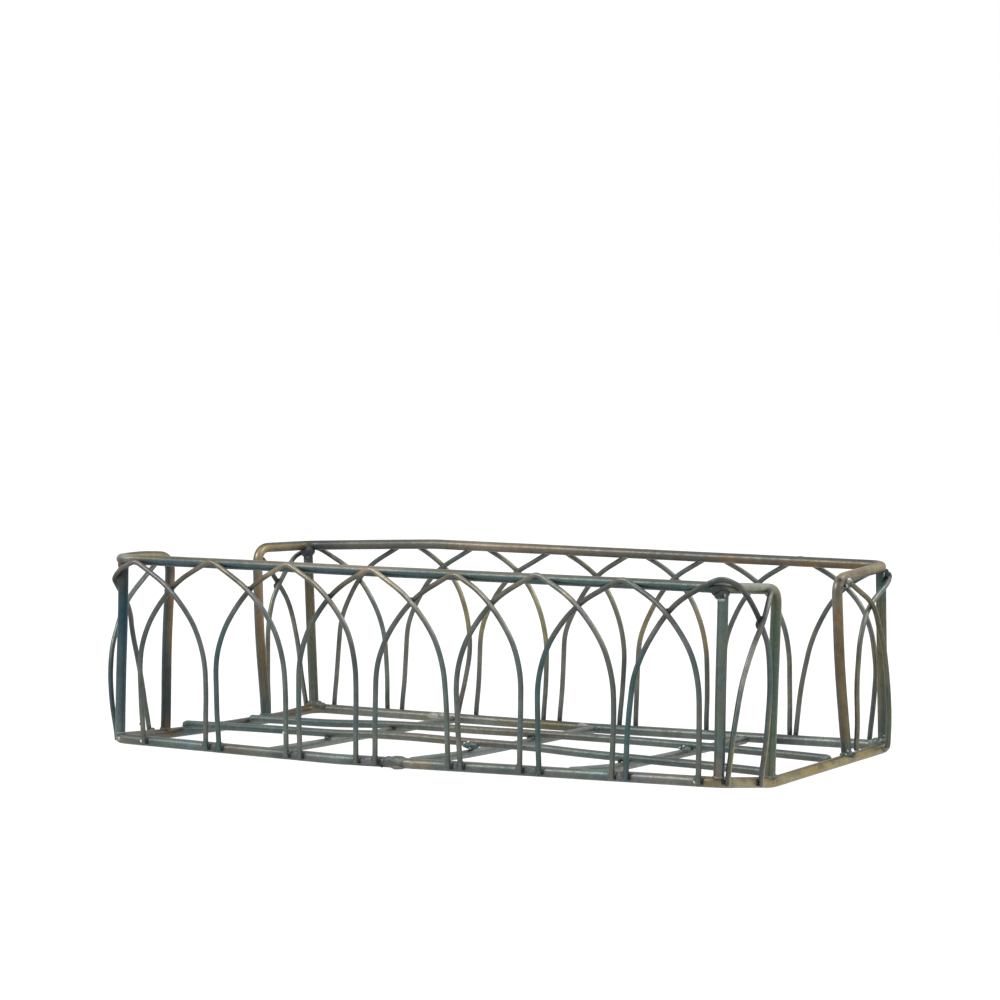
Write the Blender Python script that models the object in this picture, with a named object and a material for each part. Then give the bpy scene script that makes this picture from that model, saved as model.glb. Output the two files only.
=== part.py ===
"""Open napkin tray of welded steel wire.

A rectangular base ring of heavy wire carries four straight corner posts and two
long rims.  Each rim runs along one long side, turns both corners and comes down
as a return post on the end of the ring, so each short end is open in the middle.
Thin wires bent to pointed arches interlace along both long walls and round the
corners.  Five floor rods cross inside the ring.

Lengths are millimetres, turned into metres when a wire is made.
Frame: X along the length, Y from the front wall (-) to the back wall (+), Z up,
origin on the table under the middle of the tray.
"""
import bpy
from math import sin, cos, tan, pi, radians, sqrt, acos
from mathutils import Vector

for old in list(bpy.data.objects):
    bpy.data.objects.remove(old, do_unlink=True)

MM = 0.001

# ---------------------------------------------------------------- dimensions
FRAME_WIRE = 3.4        # diameter of ring, rims and posts
ROD_WIRE = 2.7          # diameter of the floor rods
ARCH_WIRE = 1.6         # diameter of the arch wires
GAP = 0.4               # clearance left between wires that are welded together

END_X = 115.3           # centre-line of the two end bars
RING_Y = 57.7           # centre-line of the long bars of the ring
FRONT_RIM_Y = 55.3      # rims stand slightly further in than the ring
BACK_RIM_Y = 54.2
CORNER_R = 5.0          # bend radius of ring and rim corners, on the centre-line
BEND_R = 5.0            # bend radius where a rim turns down into its return post
RIM_H = 60.8            # rim centre-line above ring centre-line
BACK_RIM_LEFT, BACK_RIM_TOP, BACK_RIM_RIGHT = 59.1, 61.4, 60.75
BACK_TOP_X = -60.0      # where the back rim is highest

# the ring is not flat: it stands on its two end bars, which sag, and the long bars
# and the corners are clear of the table.  Heights are over the long bars' low level.
SAG = 1.25              # how far the end bars hang below the long bars
LIFT_FRONT_LEFT, LIFT_FRONT_RIGHT, LIFT_BACK_RIGHT = 1.0, 2.4, 1.4
FRONT_LOW_X = -25.0     # lowest place of the front bar
RIGHT_LOW_Y = -25.0     # lowest place of the right end bar
LEFT_BEND = (-30.0, -0.5)       # the left end bar's slope eases here: Y, height
LEFT_FLAT = (8.0, 38.0)         # part of the left end bar that lies on the table
SEAM_X = -2.3           # closing weld of the ring, on the front bar

# return posts: Y at the foot, Y at the top, dip of the rim at the bend
RETURNS = {
    "front_left": (-29.5, -25.3, 0.8),
    "front_right": (-26.2, -22.2, 2.5),
    "back_left": (28.5, 23.6, -0.6),
    "back_right": (26.0, 18.1, 2.2),
}

# floor rods running front to back: X, height of the front and the back end above
# the low level of the long bars
CROSS_RODS = {
    "left": (-53.5, 0.25, -0.25),
    "middle": (3.5, 1.1, -0.2),
    "right": (62.0, 2.0, -0.05),
}
CROSS_LEVEL_Y = -27.0   # from here forward a cross rod bends up to its front end
LONG_Y = {"front": (-21.0, -24.0), "back": (17.0, 17.5)}   # left end, right end
# height of the long rods above the low level of the long bars, by X
LONG_Z = {
    "front": ((-114.0, 2.2), (-85.0, 3.2), (-53.5, 3.75), (25.0, 3.8), (62.0, 3.5), (114.0, 1.8)),
    "back": ((-114.0, 0.4), (-75.0, 2.0), (-54.0, 3.2), (3.5, 3.2), (62.0, 3.3), (114.0, 1.4)),
}

# arch wires: bent as a straight leg, an arc and a straight flank up to the peak
ARC_R = 36.0
FLANK = 62.0            # flank angle at the peak, degrees from upright
PEAK_R = 3.5            # rounding of the peak
WEAVE = 1.2             # one leg steps out and the other in where two cross
WALL_CROSSING = (50.6, 10.8)    # height of the crossings on the long walls, reach
END_CROSSING = {"front_left": (44.0, 8.5), "front_right": (49.8, 8.5),
                "back_left": (48.5, 8.5), "back_right": (49.8, 8.5)}

# ------------------------------------------------------------ derived lengths
SPAN = 2 * END_X
R_FRAME, R_ROD, R_ARCH = FRAME_WIRE / 2, ROD_WIRE / 2, ARCH_WIRE / 2
FRAME_RES, ROD_RES, ARCH_RES = 3, 2, 1      # 10, 8 and 6 sided sections


def section_radius(radius, res):
    """Corner radius of the polygon with the same area as the round wire."""
    sides = 4 + 2 * res
    return radius * sqrt(2 * pi / (sides * sin(2 * pi / sides)))


BASE_Z = section_radius(R_FRAME, FRAME_RES) * cos(pi / (4 + 2 * FRAME_RES)) + SAG
ARCH_OFF = R_FRAME + R_ARCH + GAP           # arch wire outside ring and rim


# ------------------------------------------------------------------ materials
def steel(name, colour, roughness):
    mat = bpy.data.materials.new(name)
    mat.use_nodes = True
    shader = mat.node_tree.nodes["Principled BSDF"]
    shader.inputs["Base Color"].default_value = (*colour, 1.0)
    shader.inputs["Metallic"].default_value = 0.9
    shader.inputs["Roughness"].default_value = roughness
    return mat


# ---------------------------------------------------------------- wire making
def rounded(points, radii, steps):
    """Polyline with its inner corners rounded; radii holds one radius per point."""
    pts = [Vector(p) for p in points]
    out = [pts[0]]
    for i in range(1, len(pts) - 1):
        r = radii[i]
        if r <= 0:
            out.append(pts[i])
            continue
        u = (pts[i - 1] - pts[i]).normalized()
        v = (pts[i + 1] - pts[i]).normalized()
        inner = acos(max(-1.0, min(1.0, u.dot(v))))
        cut = r / tan(inner / 2)
        centre = pts[i] + (u + v).normalized() * (r / sin(inner / 2))
        a, b = pts[i] + u * cut - centre, pts[i] + v * cut - centre
        turn = pi - inner
        for k in range(steps + 1):
            t = k / steps
            out.append(centre + (a * sin((1 - t) * turn) + b * sin(t * turn)) / sin(turn))
    out.append(pts[-1])
    return out


def wire(name, points, radius, res, mat, closed=False, swell=None):
    """One round wire along a centre-line: a bevelled curve with filled ends."""
    data = bpy.data.curves.new(name, "CURVE")
    data.dimensions = "3D"
    data.twist_mode = "Z_UP" if closed else "MINIMUM"
    data.bevel_depth = section_radius(radius, res) * MM
    data.bevel_resolution = res
    data.use_fill_caps = not closed
    spline = data.splines.new("POLY")
    spline.points.add(len(points) - 1)
    for i, p in enumerate(points):
        spline.points[i].co = (p[0] * MM, p[1] * MM, p[2] * MM, 1.0)
        if swell is not None:
            spline.points[i].radius = swell(p)
    spline.use_cyclic_u = closed
    data.materials.append(mat)
    obj = bpy.data.objects.new(name, data)
    bpy.context.scene.collection.objects.link(obj)
    obj.parent = tray
    return obj


tray = bpy.data.objects.new("tray", None)
bpy.context.scene.collection.objects.link(tray)


# ------------------------------------------------------- the wall as a surface
def between(u, u0, u1, v0, v1):
    return v0 + (v1 - v0) * (u - u0) / (u1 - u0)


def ring_lift(x, y):
    """Height of the ring's centre-line above its lowest places."""
    if y < -RING_Y + CORNER_R:
        if x < FRONT_LOW_X:
            return between(x, -END_X, FRONT_LOW_X, LIFT_FRONT_LEFT, 0.0)
        return between(x, FRONT_LOW_X, END_X, 0.0, LIFT_FRONT_RIGHT)
    if y > RING_Y - CORNER_R:
        return between(x, 0.0, END_X, 0.0, LIFT_BACK_RIGHT) if x > 0 else 0.0
    if x > 0:
        if y < RIGHT_LOW_Y:
            return between(y, -RING_Y, RIGHT_LOW_Y, LIFT_FRONT_RIGHT, -SAG)
        return between(y, RIGHT_LOW_Y, RING_Y, -SAG, LIFT_BACK_RIGHT)
    if y < LEFT_BEND[0]:
        return between(y, -RING_Y, LEFT_BEND[0], LIFT_FRONT_LEFT, LEFT_BEND[1])
    if y < LEFT_FLAT[0]:
        return between(y, LEFT_BEND[0], LEFT_FLAT[0], LEFT_BEND[1], -SAG)
    return -SAG if y < LEFT_FLAT[1] else between(y, LEFT_FLAT[1], RING_Y, -SAG, 0.0)


def plan(s, side, wall_y):
    """Plan point and outward direction at distance s along one wall.

    s is 0 at the left corner and SPAN at the right corner; below 0 and above
    SPAN it runs round the corner along the end.  side is -1 front, +1 back.
    """
    r = CORNER_R
    if s <= -r:
        return (-END_X, side * (wall_y + s)), (-1.0, 0.0)
    if s < r:
        a = (s + r) / (2 * r) * pi / 2
        n = (-cos(a), side * sin(a))
        return (-END_X + r + r * n[0], side * (wall_y - r) + r * n[1]), n
    if s <= SPAN - r:
        return (-END_X + s, side * wall_y), (0.0, float(side))
    if s < SPAN + r:
        a = (s - SPAN + r) / (2 * r) * pi / 2
        n = (sin(a), side * cos(a))
        return (END_X - r + r * n[0], side * (wall_y - r) + r * n[1]), n
    return (END_X, side * (wall_y - (s - SPAN))), (1.0, 0.0)


def on_wall(s, z, side, off):
    """Point at height z above the ring's centre-line, off outside the wall."""
    (x0, y0), n = plan(s, side, RING_Y)
    (x1, y1), n = plan(s, side, FRONT_RIM_Y if side < 0 else BACK_RIM_Y)
    t = z / RIM_H
    return Vector((x0 + (x1 - x0) * t + n[0] * off,
                   y0 + (y1 - y0) * t + n[1] * off,
                   BASE_Z + z))


def foot_height(s, side):
    (x, y), n = plan(s, side, RING_Y)
    return ring_lift(x, y) - 0.55 * R_FRAME


def rim_height(x, side):
    if side < 0:
        return RIM_H
    if x < BACK_TOP_X:
        return between(x, -END_X, BACK_TOP_X, BACK_RIM_LEFT, BACK_RIM_TOP)
    return between(x, BACK_TOP_X, END_X, BACK_RIM_TOP, BACK_RIM_RIGHT)


# ------------------------------------------------------------------ arch wires
def leg(foot, peak, lean, side, peak_z, arc_r=ARC_R, flank=FLANK, steps=8):
    """Points (s, z) of one leg from its foot up to the sharp peak.

    lean is the tilt of the straight part towards the peak, in degrees.
    """
    way = 1.0 if peak > foot else -1.0
    z_foot = foot_height(foot, side)
    p0, p1 = radians(lean), radians(flank)
    run = abs(peak - foot) - arc_r * (cos(p0) - cos(p1))
    rise = peak_z - z_foot - arc_r * (sin(p1) - sin(p0))
    det = tan(p0) * cos(p1) - sin(p1)
    low = (run * cos(p1) - rise * sin(p1)) / det        # height of the straight part
    z0 = z_foot + low
    s0 = foot + way * low * tan(p0)
    pts = [(foot + way * low * tan(p0) * k / 3, z_foot + low * k / 3) for k in range(3)]
    for k in range(steps + 1):
        a = p0 + (p1 - p0) * k / steps
        pts.append((s0 + way * arc_r * (cos(p0) - cos(a)), z0 + arc_r * (sin(a) - sin(p0))))
    s1, z1 = pts[-1]
    straight = abs(peak - s1)
    cuts = max(1, int(straight / 3.0))
    pts += [(s1 + (peak - s1) * k / cuts, z1 + (peak_z - z1) * k / cuts) for k in range(1, cuts)]
    return pts


def bow(s, z, low, high):
    """A leg bent by hand: extra travel along the wall low down and high up."""
    for amount, at, reach in ((low, 18.0, 18.0), (high, 46.0, 16.0)):
        u = (z - at) / reach
        if abs(u) < 1:
            s += amount * (1 - u * u) ** 2
    return s


def crossing(foot, side):
    """Height and reach of the crossing on a leg, from where its foot stands."""
    if 0.0 < foot < SPAN:
        return WALL_CROSSING
    return END_CROSSING[("front_" if side < 0 else "back_") + ("left" if foot <= 0 else "right")]


def weave(z, step, at):
    u = (z - at[0]) / at[1]
    return step * WEAVE * (1 - u * u) ** 2 if abs(u) < 1 else 0.0


def corner_room(s):
    """A bent wire stands a little further out where it turns a corner."""
    d = min(abs(s), abs(s - SPAN)) / (CORNER_R + 3.0)
    return 0.35 * (1 - d * d) if d < 1 else 0.0


def round_peak(left, peak, right):
    """Join two legs at the peak with a small arc; returns (s, z, from_left) points."""
    line = [Vector((*left[-1], 0.0)), Vector((*peak, 0.0)), Vector((*right[-1], 0.0))]
    turn = (line[1] - line[0]).angle(line[2] - line[1])
    r = min(PEAK_R, 0.9 * min((line[1] - line[0]).length,
                              (line[2] - line[1]).length) / tan(turn / 2))
    return [(p.x, p.y) for p in rounded(line, [0, r, 0], 4)[1:-1]]


def arch(name, peak, left, right, side, rise, bows, out_left=-1.0, out_right=1.0, mat=None):
    """Full arch: left and right are (foot, lean) along the wall, bows their bends."""
    peak_z = rim_height(peak - END_X, side) + rise
    steps = 12 if peak < 20 or peak > SPAN - 20 else 8
    lpts = leg(left[0], peak, left[1], side, peak_z, steps=steps)
    rpts = leg(right[0], peak, right[1], side, peak_z, steps=steps)
    top = round_peak(lpts, (peak, peak_z), rpts)
    at_left, at_right = crossing(left[0], side), crossing(right[0], side)
    path = [(bow(s, z, *bows[0]), z, weave(z, out_left, at_left)) for s, z in lpts]
    path += [(s, z, 0.0) for s, z in top]
    path += [(bow(s, z, *bows[1]), z, weave(z, out_right, at_right)) for s, z in reversed(rpts)]
    pts = [on_wall(s, z, side, ARCH_OFF + step + corner_room(s)) for s, z, step in path]
    return wire(name, pts, R_ARCH, ARCH_RES, mat)


def half_arch(name, foot, top, side, top_z, lean, arc_r, flank, bulge, out, mat):
    """Single leg from a corner of the ring up to the bend of the return."""
    pts = leg(foot, top, lean, side, top_z, arc_r, flank, steps=12) + [(top, top_z)]
    line = [on_wall(s, z, side, ARCH_OFF + weave(z, out, crossing(foot, side)) + corner_room(s)
                    + bulge * max(0.0, sin(pi * min(1.0, z / 42.0))))
            for s, z in pts]
    return wire(name, line, R_ARCH, ARCH_RES, mat)


# ------------------------------------------------------------------- the ring
ring_steel = steel("ring_steel", (0.26, 0.27, 0.24), 0.42)
rim_steel = steel("rim_steel", (0.24, 0.26, 0.25), 0.40)
post_steel = steel("post_steel", (0.18, 0.25, 0.26), 0.40)
rod_steel = steel("rod_steel", (0.26, 0.29, 0.27), 0.45)
arch_steel = steel("arch_steel", (0.25, 0.25, 0.22), 0.40)


def ring_vertex(x, y):
    return (x, y, BASE_Z + ring_lift(x, y))


ring_line = [
    ring_vertex(-END_X, LEFT_FLAT[0]), ring_vertex(-END_X, LEFT_BEND[0]), ring_vertex(-END_X, -RING_Y),
    ring_vertex(FRONT_LOW_X, -RING_Y), ring_vertex(SEAM_X - 4.2, -RING_Y),
    ring_vertex(SEAM_X - 2.6, -RING_Y), ring_vertex(SEAM_X + 2.6, -RING_Y),
    ring_vertex(SEAM_X + 4.2, -RING_Y), ring_vertex(END_X, -RING_Y),
    ring_vertex(END_X, RIGHT_LOW_Y), ring_vertex(END_X, RING_Y),
    ring_vertex(0.0, RING_Y), ring_vertex(-END_X, RING_Y), ring_vertex(-END_X, LEFT_FLAT[1]),
    ring_vertex(-END_X, LEFT_FLAT[0]),
]
ring_round = [CORNER_R if abs(p[0]) == END_X and abs(p[1]) == RING_Y else 0 for p in ring_line]
ring_points = rounded(ring_line, ring_round, 6)[:-1]


def seam_swell(p):
    """The closing weld is a short thicker collar on the front bar."""
    return 1.18 if p[1] < -RING_Y + 1 and abs(p[0] - SEAM_X) < 3.0 else 1.0


wire("base_ring", ring_points, R_FRAME, FRAME_RES, ring_steel, closed=True, swell=seam_swell)

# ------------------------------------------------------------------- the rims
for side, word, wall_y in ((-1, "front", FRONT_RIM_Y), (1, "back", BACK_RIM_Y)):
    line, radii = [], []
    for hand, x in (("left", -END_X), ("right", END_X)):
        foot_y, top_y, dip = RETURNS[word + "_" + hand]
        h = rim_height(x, side)
        part = [
            (x, foot_y, BASE_Z + ring_lift(x, foot_y) + R_FRAME + GAP),
            (x, top_y, BASE_Z + h - dip),
            (x, side * wall_y, BASE_Z + h),
        ]
        turn = [0, BEND_R, CORNER_R]
        if hand == "left":
            line, radii = part + [(BACK_TOP_X, side * wall_y, BASE_Z + rim_height(BACK_TOP_X, side))], turn + [0]
        else:
            line, radii = line + part[::-1], radii + turn[::-1]
    wire(word + "_rim", rounded(line, radii, 6), R_FRAME, FRAME_RES, rim_steel)

# ---------------------------------------------------------------- corner posts
for side, word, wall_y in ((-1, "front", FRONT_RIM_Y), (1, "back", BACK_RIM_Y)):
    for hand, s, x in (("left", 0.0, -END_X), ("right", SPAN, END_X)):
        (x0, y0), n = plan(s, side, RING_Y)
        (x1, y1), n = plan(s, side, wall_y)
        low = BASE_Z + ring_lift(x0, y0) + R_FRAME + GAP
        high = BASE_Z + rim_height(x, side) - R_FRAME - GAP
        wire("corner_post_%s_%s" % (word, hand), [(x0, y0, low), (x1, y1, high)],
             R_FRAME, FRAME_RES, post_steel)

# ------------------------------------------------------------------ floor rods
reach_y = RING_Y - R_FRAME - GAP
for word, (x, front_z, back_z) in CROSS_RODS.items():
    level_z = min(front_z, -0.05)
    wire("cross_rod_" + word,
         [(x, -reach_y, BASE_Z + front_z), (x, CROSS_LEVEL_Y, BASE_Z + level_z), (x, reach_y, BASE_Z + back_z)],
         R_ROD, ROD_RES, rod_steel)

reach_x = END_X - R_FRAME - GAP
for word, (y0, y1) in LONG_Y.items():
    line = []
    for k in range(13):
        x = -reach_x + 2 * reach_x * k / 12
        for (xa, za), (xb, zb) in zip(LONG_Z[word][:-1], LONG_Z[word][1:]):
            if xa <= x <= xb:
                line.append((x, y0 + (y1 - y0) * k / 12, BASE_Z + between(x, xa, xb, za, zb)))
                break
    wire("long_rod_" + word, line, R_ROD, ROD_RES, rod_steel)

# ------------------------------------------------------------------ the arches
# peak X, its height above the rim's centre-line, (left foot X, lean), (right foot
# X, lean); feet past the corners are given as a distance along the end instead
FRONT_ARCHES = (
    (-106.1, 0.0, ("end", -23.0, 16.0), (-75.3, 2.0)),
    (-74.8, 1.1, (-100.9, -4.5), (-42.9, 3.0)),
    (-44.3, 1.4, (-69.9, -3.5), (-15.7, 1.0)),
    (-11.8, 1.2, (-37.6, -1.5), (19.4, 4.0)),
    (20.0, 0.8, (-8.4, 0.0), (45.7, 0.0)),
    (50.4, 1.9, (24.0, -4.5), (78.8, 0.0)),
    (81.1, 1.7, (52.8, -2.0), (109.0, 0.5)),
    (114.3, 3.2, (83.7, 4.0), ("end", 20.9, -7.5)),
)
BACK_ARCHES = (
    (-113.0, -0.6, ("end", -24.0, 4.0), (-84.4, 1.0)),
    (-72.8, 1.25, (-107.9, 7.5), (-55.1, -14.5)),
    (-43.2, 0.65, (-78.5, 6.0), (-19.3, -4.0)),
    (-11.4, 0.65, (-47.1, 5.0), (11.2, -5.5)),
    (20.0, 0.9, (-12.8, 5.0), (45.4, -1.0)),
    (50.0, 1.0, (17.7, 4.0), (77.1, -1.0)),
    (82.6, 1.3, (51.3, 3.0), (106.4, -6.5)),
    (110.5, -1.35, (79.0, 11.0), ("end", 29.4, -1.0)),
)
# bends of the legs by hand, low down and high up: left leg, right leg
FRONT_BOWS = (
    ((-0.8, 0.0), (0.55, -0.45)), ((0.2, 0.4), (0.6, -0.2)), ((0.0, 0.6), (0.3, 0.3)), ((0.0, 0.35), (0.55, -0.45)),
    ((0.1, 0.5), (0.3, -0.25)), ((0.1, 0.4), (0.5, -0.35)), ((0.0, 0.0), (0.35, 0.0)), ((-0.5, 1.2), (0.25, 0.6)),
)
BACK_BOWS = (
    ((0.0, 0.0), (0.2, -0.2)), ((-0.3, 0.7), (0.0, 0.5)), ((0.1, 1.0), (0.25, 0.25)), ((0.2, 0.5), (0.2, 0.2)),
    ((0.2, 1.5), (0.2, 0.2)), ((-0.3, 1.1), (-0.1, 0.7)), ((0.0, 0.65), (0.1, 1.1)), ((-1.0, 0.7), (-0.7, 2.6)),
)


def place(spec):
    """Foot along the wall and lean from one table entry."""
    if spec[0] == "end":
        d = spec[1]
        return (d if d < 0 else SPAN + d, spec[2])
    return (spec[0] + END_X, spec[1])


for side, word, table, bends in ((-1, "front", FRONT_ARCHES, FRONT_BOWS), (1, "back", BACK_ARCHES, BACK_BOWS)):
    for i, (peak_x, rise, left, right) in enumerate(table, 1):
        out_right = -1.0 if i == 8 else 1.0
        arch("%s_arch_%d" % (word, i), peak_x + END_X, place(left), place(right), side,
             rise, bends[i - 1], out_right=out_right, mat=arch_steel)

half_arch("end_arch_front_left", -5.15, -24.5, -1, 57.9, -7.6, 35.0, 52.6, 0.6, 1.0, arch_steel)
half_arch("end_arch_front_right", SPAN + 1.6, SPAN + 25.0, -1, 57.9, 6.1, 80.0, 44.0, -1.0, 1.0, arch_steel)
half_arch("end_arch_back_left", -1.8, -23.8, 1, 55.2, 5.4, 43.8, 56.5, -0.4, 1.0, arch_steel)
half_arch("end_arch_back_right", SPAN + 6.6, SPAN + 31.0, 1, 57.0, 5.5, 24.8, 61.2, 0.95, 1.0, arch_steel)
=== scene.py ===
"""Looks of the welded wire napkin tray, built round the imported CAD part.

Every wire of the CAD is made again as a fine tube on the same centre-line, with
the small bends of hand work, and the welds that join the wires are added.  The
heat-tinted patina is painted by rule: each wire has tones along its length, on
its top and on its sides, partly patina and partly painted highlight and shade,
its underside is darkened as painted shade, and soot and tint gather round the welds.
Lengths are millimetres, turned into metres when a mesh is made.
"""
from math import sin, cos, tan, pi, radians, acos, sqrt

import bpy
import numpy as np
from mathutils import Vector, Matrix, noise


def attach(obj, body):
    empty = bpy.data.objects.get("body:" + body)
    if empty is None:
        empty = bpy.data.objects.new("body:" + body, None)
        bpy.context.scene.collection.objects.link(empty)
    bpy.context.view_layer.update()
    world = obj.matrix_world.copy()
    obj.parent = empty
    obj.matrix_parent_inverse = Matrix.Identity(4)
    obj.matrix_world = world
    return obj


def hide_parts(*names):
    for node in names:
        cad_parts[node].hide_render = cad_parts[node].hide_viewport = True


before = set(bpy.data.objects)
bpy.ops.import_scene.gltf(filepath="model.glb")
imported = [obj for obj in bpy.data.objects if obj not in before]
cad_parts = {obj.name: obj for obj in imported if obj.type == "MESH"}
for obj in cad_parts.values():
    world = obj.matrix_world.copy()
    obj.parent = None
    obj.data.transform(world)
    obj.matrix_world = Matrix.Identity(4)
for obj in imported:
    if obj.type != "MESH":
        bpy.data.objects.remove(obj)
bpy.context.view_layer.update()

MM = 0.001

# ---------------------------------------------------------------- dimensions
R_FRAME, R_ROD, R_ARCH = 1.70, 1.37, 0.86
END_X, RING_Y = 115.3, 57.7
FRONT_RIM_Y, BACK_RIM_Y = 55.3, 54.2
CORNER_R, BEND_R = 5.0, 5.0
RIM_H = 60.8
BACK_RIM_LEFT, BACK_RIM_TOP, BACK_RIM_RIGHT, BACK_TOP_X = 59.1, 61.4, 60.75, -60.0
LIFT_FRONT_LEFT, LIFT_FRONT_RIGHT, LIFT_BACK_RIGHT = 1.0, 2.4, 1.4
SAG = 1.25              # how far the end bars hang below the long bars
FRONT_LOW_X, RIGHT_LOW_Y, SEAM_X = -25.0, -25.0, -2.3
LEFT_BEND, LEFT_FLAT = (-30.0, -0.5), (8.0, 38.0)
RETURNS = {
    "front_left": (-29.5, -25.3, 0.8),
    "front_right": (-26.2, -22.2, 2.5),
    "back_left": (28.5, 23.6, -0.6),
    "back_right": (26.0, 18.1, 2.2),
}
RIM_LEAN = 0.55         # the front rim leans out at its left end
# bend radius at the return and at the corner of each rim end
RIM_TURNS = {"front_left": (4.6, 3.4), "front_right": (3.6, 4.5), "back_left": (4.6, 4.5), "back_right": (4.0, 4.5)}
# the returns bend a little to the left half way up
RETURN_BOW = {"front_left": 0.7, "front_right": 0.0, "back_left": 0.8, "back_right": 0.9}
CROSS_RODS = {"left": (-53.5, 0.25, -0.25), "middle": (3.5, 1.1, -0.2), "right": (62.0, 2.0, -0.05)}
CROSS_LEVEL_Y = -27.0
LONG_Y = {"front": (-21.0, -24.0), "back": (17.0, 17.5)}
LONG_Z = {
    "front": ((-114, 2.0), (-90, 2.5), (-63, 2.8), (-48, 2.95), (-36, 3.6), (-17, 3.85), (0, 3.65), (27, 3.65),
              (44, 3.0), (64, 2.65), (90, 2.3), (114, 1.6)),
    "back": ((-114, 0.25), (-90, 0.5), (-79, 0.65), (-62, 1.5), (-54, 1.8), (-38, 2.0), (-20, 2.05), (0, 2.3),
             (19, 2.5), (48, 2.4), (80, 2.1), (114, 1.3)),
}
ARC_R, FLANK, PEAK_R = 36.0, 62.0, 3.5
WEAVE = 0.75
WALL_CROSSING = (50.6, 10.8)
END_CROSSING = {"front_left": (44.0, 8.5), "front_right": (49.8, 8.5),
                "back_left": (48.5, 8.5), "back_right": (49.8, 8.5)}
SPAN = 2 * END_X
BASE_Z = 1.672 + SAG
ARCH_OFF = R_FRAME + R_ARCH - 0.08      # arch wires touch ring and rims

FRONT_ARCHES = (
    (-106.1, 0.0, ("end", -23.0, 16.0), (-75.3, 2.0)),
    (-74.8, 1.1, (-100.9, -4.5), (-42.9, 3.0)),
    (-44.3, 1.4, (-69.9, -3.5), (-15.7, 1.0)),
    (-11.8, 1.2, (-37.6, -1.5), (19.4, 4.0)),
    (20.0, 0.8, (-8.4, 0.0), (45.7, 0.0)),
    (50.4, 1.9, (24.0, -4.5), (78.8, 0.0)),
    (81.1, 1.7, (52.8, -2.0), (109.0, 0.5)),
    (114.3, 3.2, (83.7, 4.0), ("end", 20.9, -7.5)),
)
BACK_ARCHES = (
    (-113.0, -0.6, ("end", -24.0, 4.0), (-84.4, 1.0)),
    (-72.8, 1.25, (-107.9, 7.5), (-55.1, -14.5)),
    (-43.2, 0.65, (-78.5, 6.0), (-19.3, -4.0)),
    (-11.4, 0.65, (-47.1, 5.0), (11.2, -5.5)),
    (20.0, 0.9, (-12.8, 5.0), (45.4, -1.0)),
    (50.0, 1.0, (17.7, 4.0), (77.1, -1.0)),
    (82.6, 1.3, (51.3, 3.0), (106.4, -6.5)),
    (110.5, -1.35, (79.0, 11.0), ("end", 29.4, -1.0)),
)
# bends of the legs by hand, low down and high up: left leg, right leg
FRONT_BOWS = (
    ((-0.8, 0.0), (0.55, -0.45)), ((0.2, 0.4), (0.6, -0.2)), ((0.0, 0.6), (0.3, 0.3)), ((0.0, 0.35), (0.55, -0.45)),
    ((0.1, 0.5), (0.3, -0.25)), ((0.1, 0.4), (0.5, -0.35)), ((0.0, 0.0), (0.35, 0.0)), ((-0.5, 1.2), (0.25, 0.6)),
)
BACK_BOWS = (
    ((0.0, 0.0), (0.2, -0.2)), ((-0.3, 0.7), (0.0, 0.5)), ((0.1, 1.0), (0.25, 0.25)), ((0.2, 0.5), (0.2, 0.2)),
    ((0.2, 1.5), (0.2, 0.2)), ((-0.3, 1.1), (-0.1, 0.7)), ((0.0, 0.65), (0.1, 1.1)), ((-1.0, 0.7), (-0.7, 2.6)),
)
# name: foot, top, side, top height, lean, arc, flank, bulge, step at the crossing
HALF_ARCHES = {
    "end_arch_front_left": (-5.15, -24.5, -1, 57.9, -7.6, 35.0, 52.6, 0.6, 1.0),
    "end_arch_front_right": (SPAN + 1.6, SPAN + 25.0, -1, 57.9, 6.1, 80.0, 44.0, -0.9, 1.0),
    "end_arch_back_left": (-1.8, -23.8, 1, 55.2, 5.4, 43.8, 56.5, -0.2, 1.0),
    "end_arch_back_right": (SPAN + 6.6, SPAN + 31.0, 1, 57.0, 5.5, 24.8, 61.2, 0.95, 1.0),
}

# ------------------------------------------------------------------ palette
# patina tones as seen under even light, written as screen values
TONES = {
    "deep_teal": (40, 66, 76), "dusk": (60, 77, 83), "slate": (70, 86, 93), "verdigris": (80, 96, 92),
    "seaglass": (84, 98, 96), "haze": (100, 112, 108), "mist": (122, 136, 134),
    "char": (54, 60, 61), "lead": (76, 80, 78), "ash": (90, 96, 92), "stone": (106, 108, 100), "steel": (122, 128, 124),
    "moss": (84, 90, 74), "fern": (72, 90, 78), "sage": (90, 98, 88), "olive": (92, 88, 66), "ochre": (112, 106, 82),
    "umber": (84, 74, 58), "bronze": (100, 92, 74), "rust": (112, 92, 66), "amber": (150, 104, 46),
    "fawn": (112, 106, 94), "tan": (140, 130, 114), "gold": (136, 126, 98),
    "soot": (30, 31, 32), "pale": (150, 150, 142), "white": (196, 198, 192),
    "pewter": (78, 86, 84), "fog": (93, 104, 101), "pine": (66, 84, 83), "taupe": (90, 87, 80), "plum": (96, 94, 98),
    "celadon": (138, 142, 122), "teal": (52, 82, 86), "straw": (156, 146, 108), "honey": (154, 138, 84),
}
GAIN = 0.88


def linear(c):
    v = np.array(c, float) / 255.0
    return np.where(v <= 0.04045, v / 12.92, ((v + 0.055) / 1.055) ** 2.4) * GAIN


TONE = {k: linear(v) for k, v in TONES.items()}


def ramp(stops, u):
    """Colour at u along a list of (place, tone)."""
    at = [s[0] for s in stops]
    col = np.array([TONE[s[1]] for s in stops])
    return np.stack([np.interp(u, at, col[:, k]) for k in range(3)], axis=-1)


def step(a, b, x):
    u = np.clip((x - a) / (b - a), 0.0, 1.0)
    return u * u * (3 - 2 * u)


def mix(a, b, w):
    return a + (b - a) * np.asarray(w)[..., None]


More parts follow.
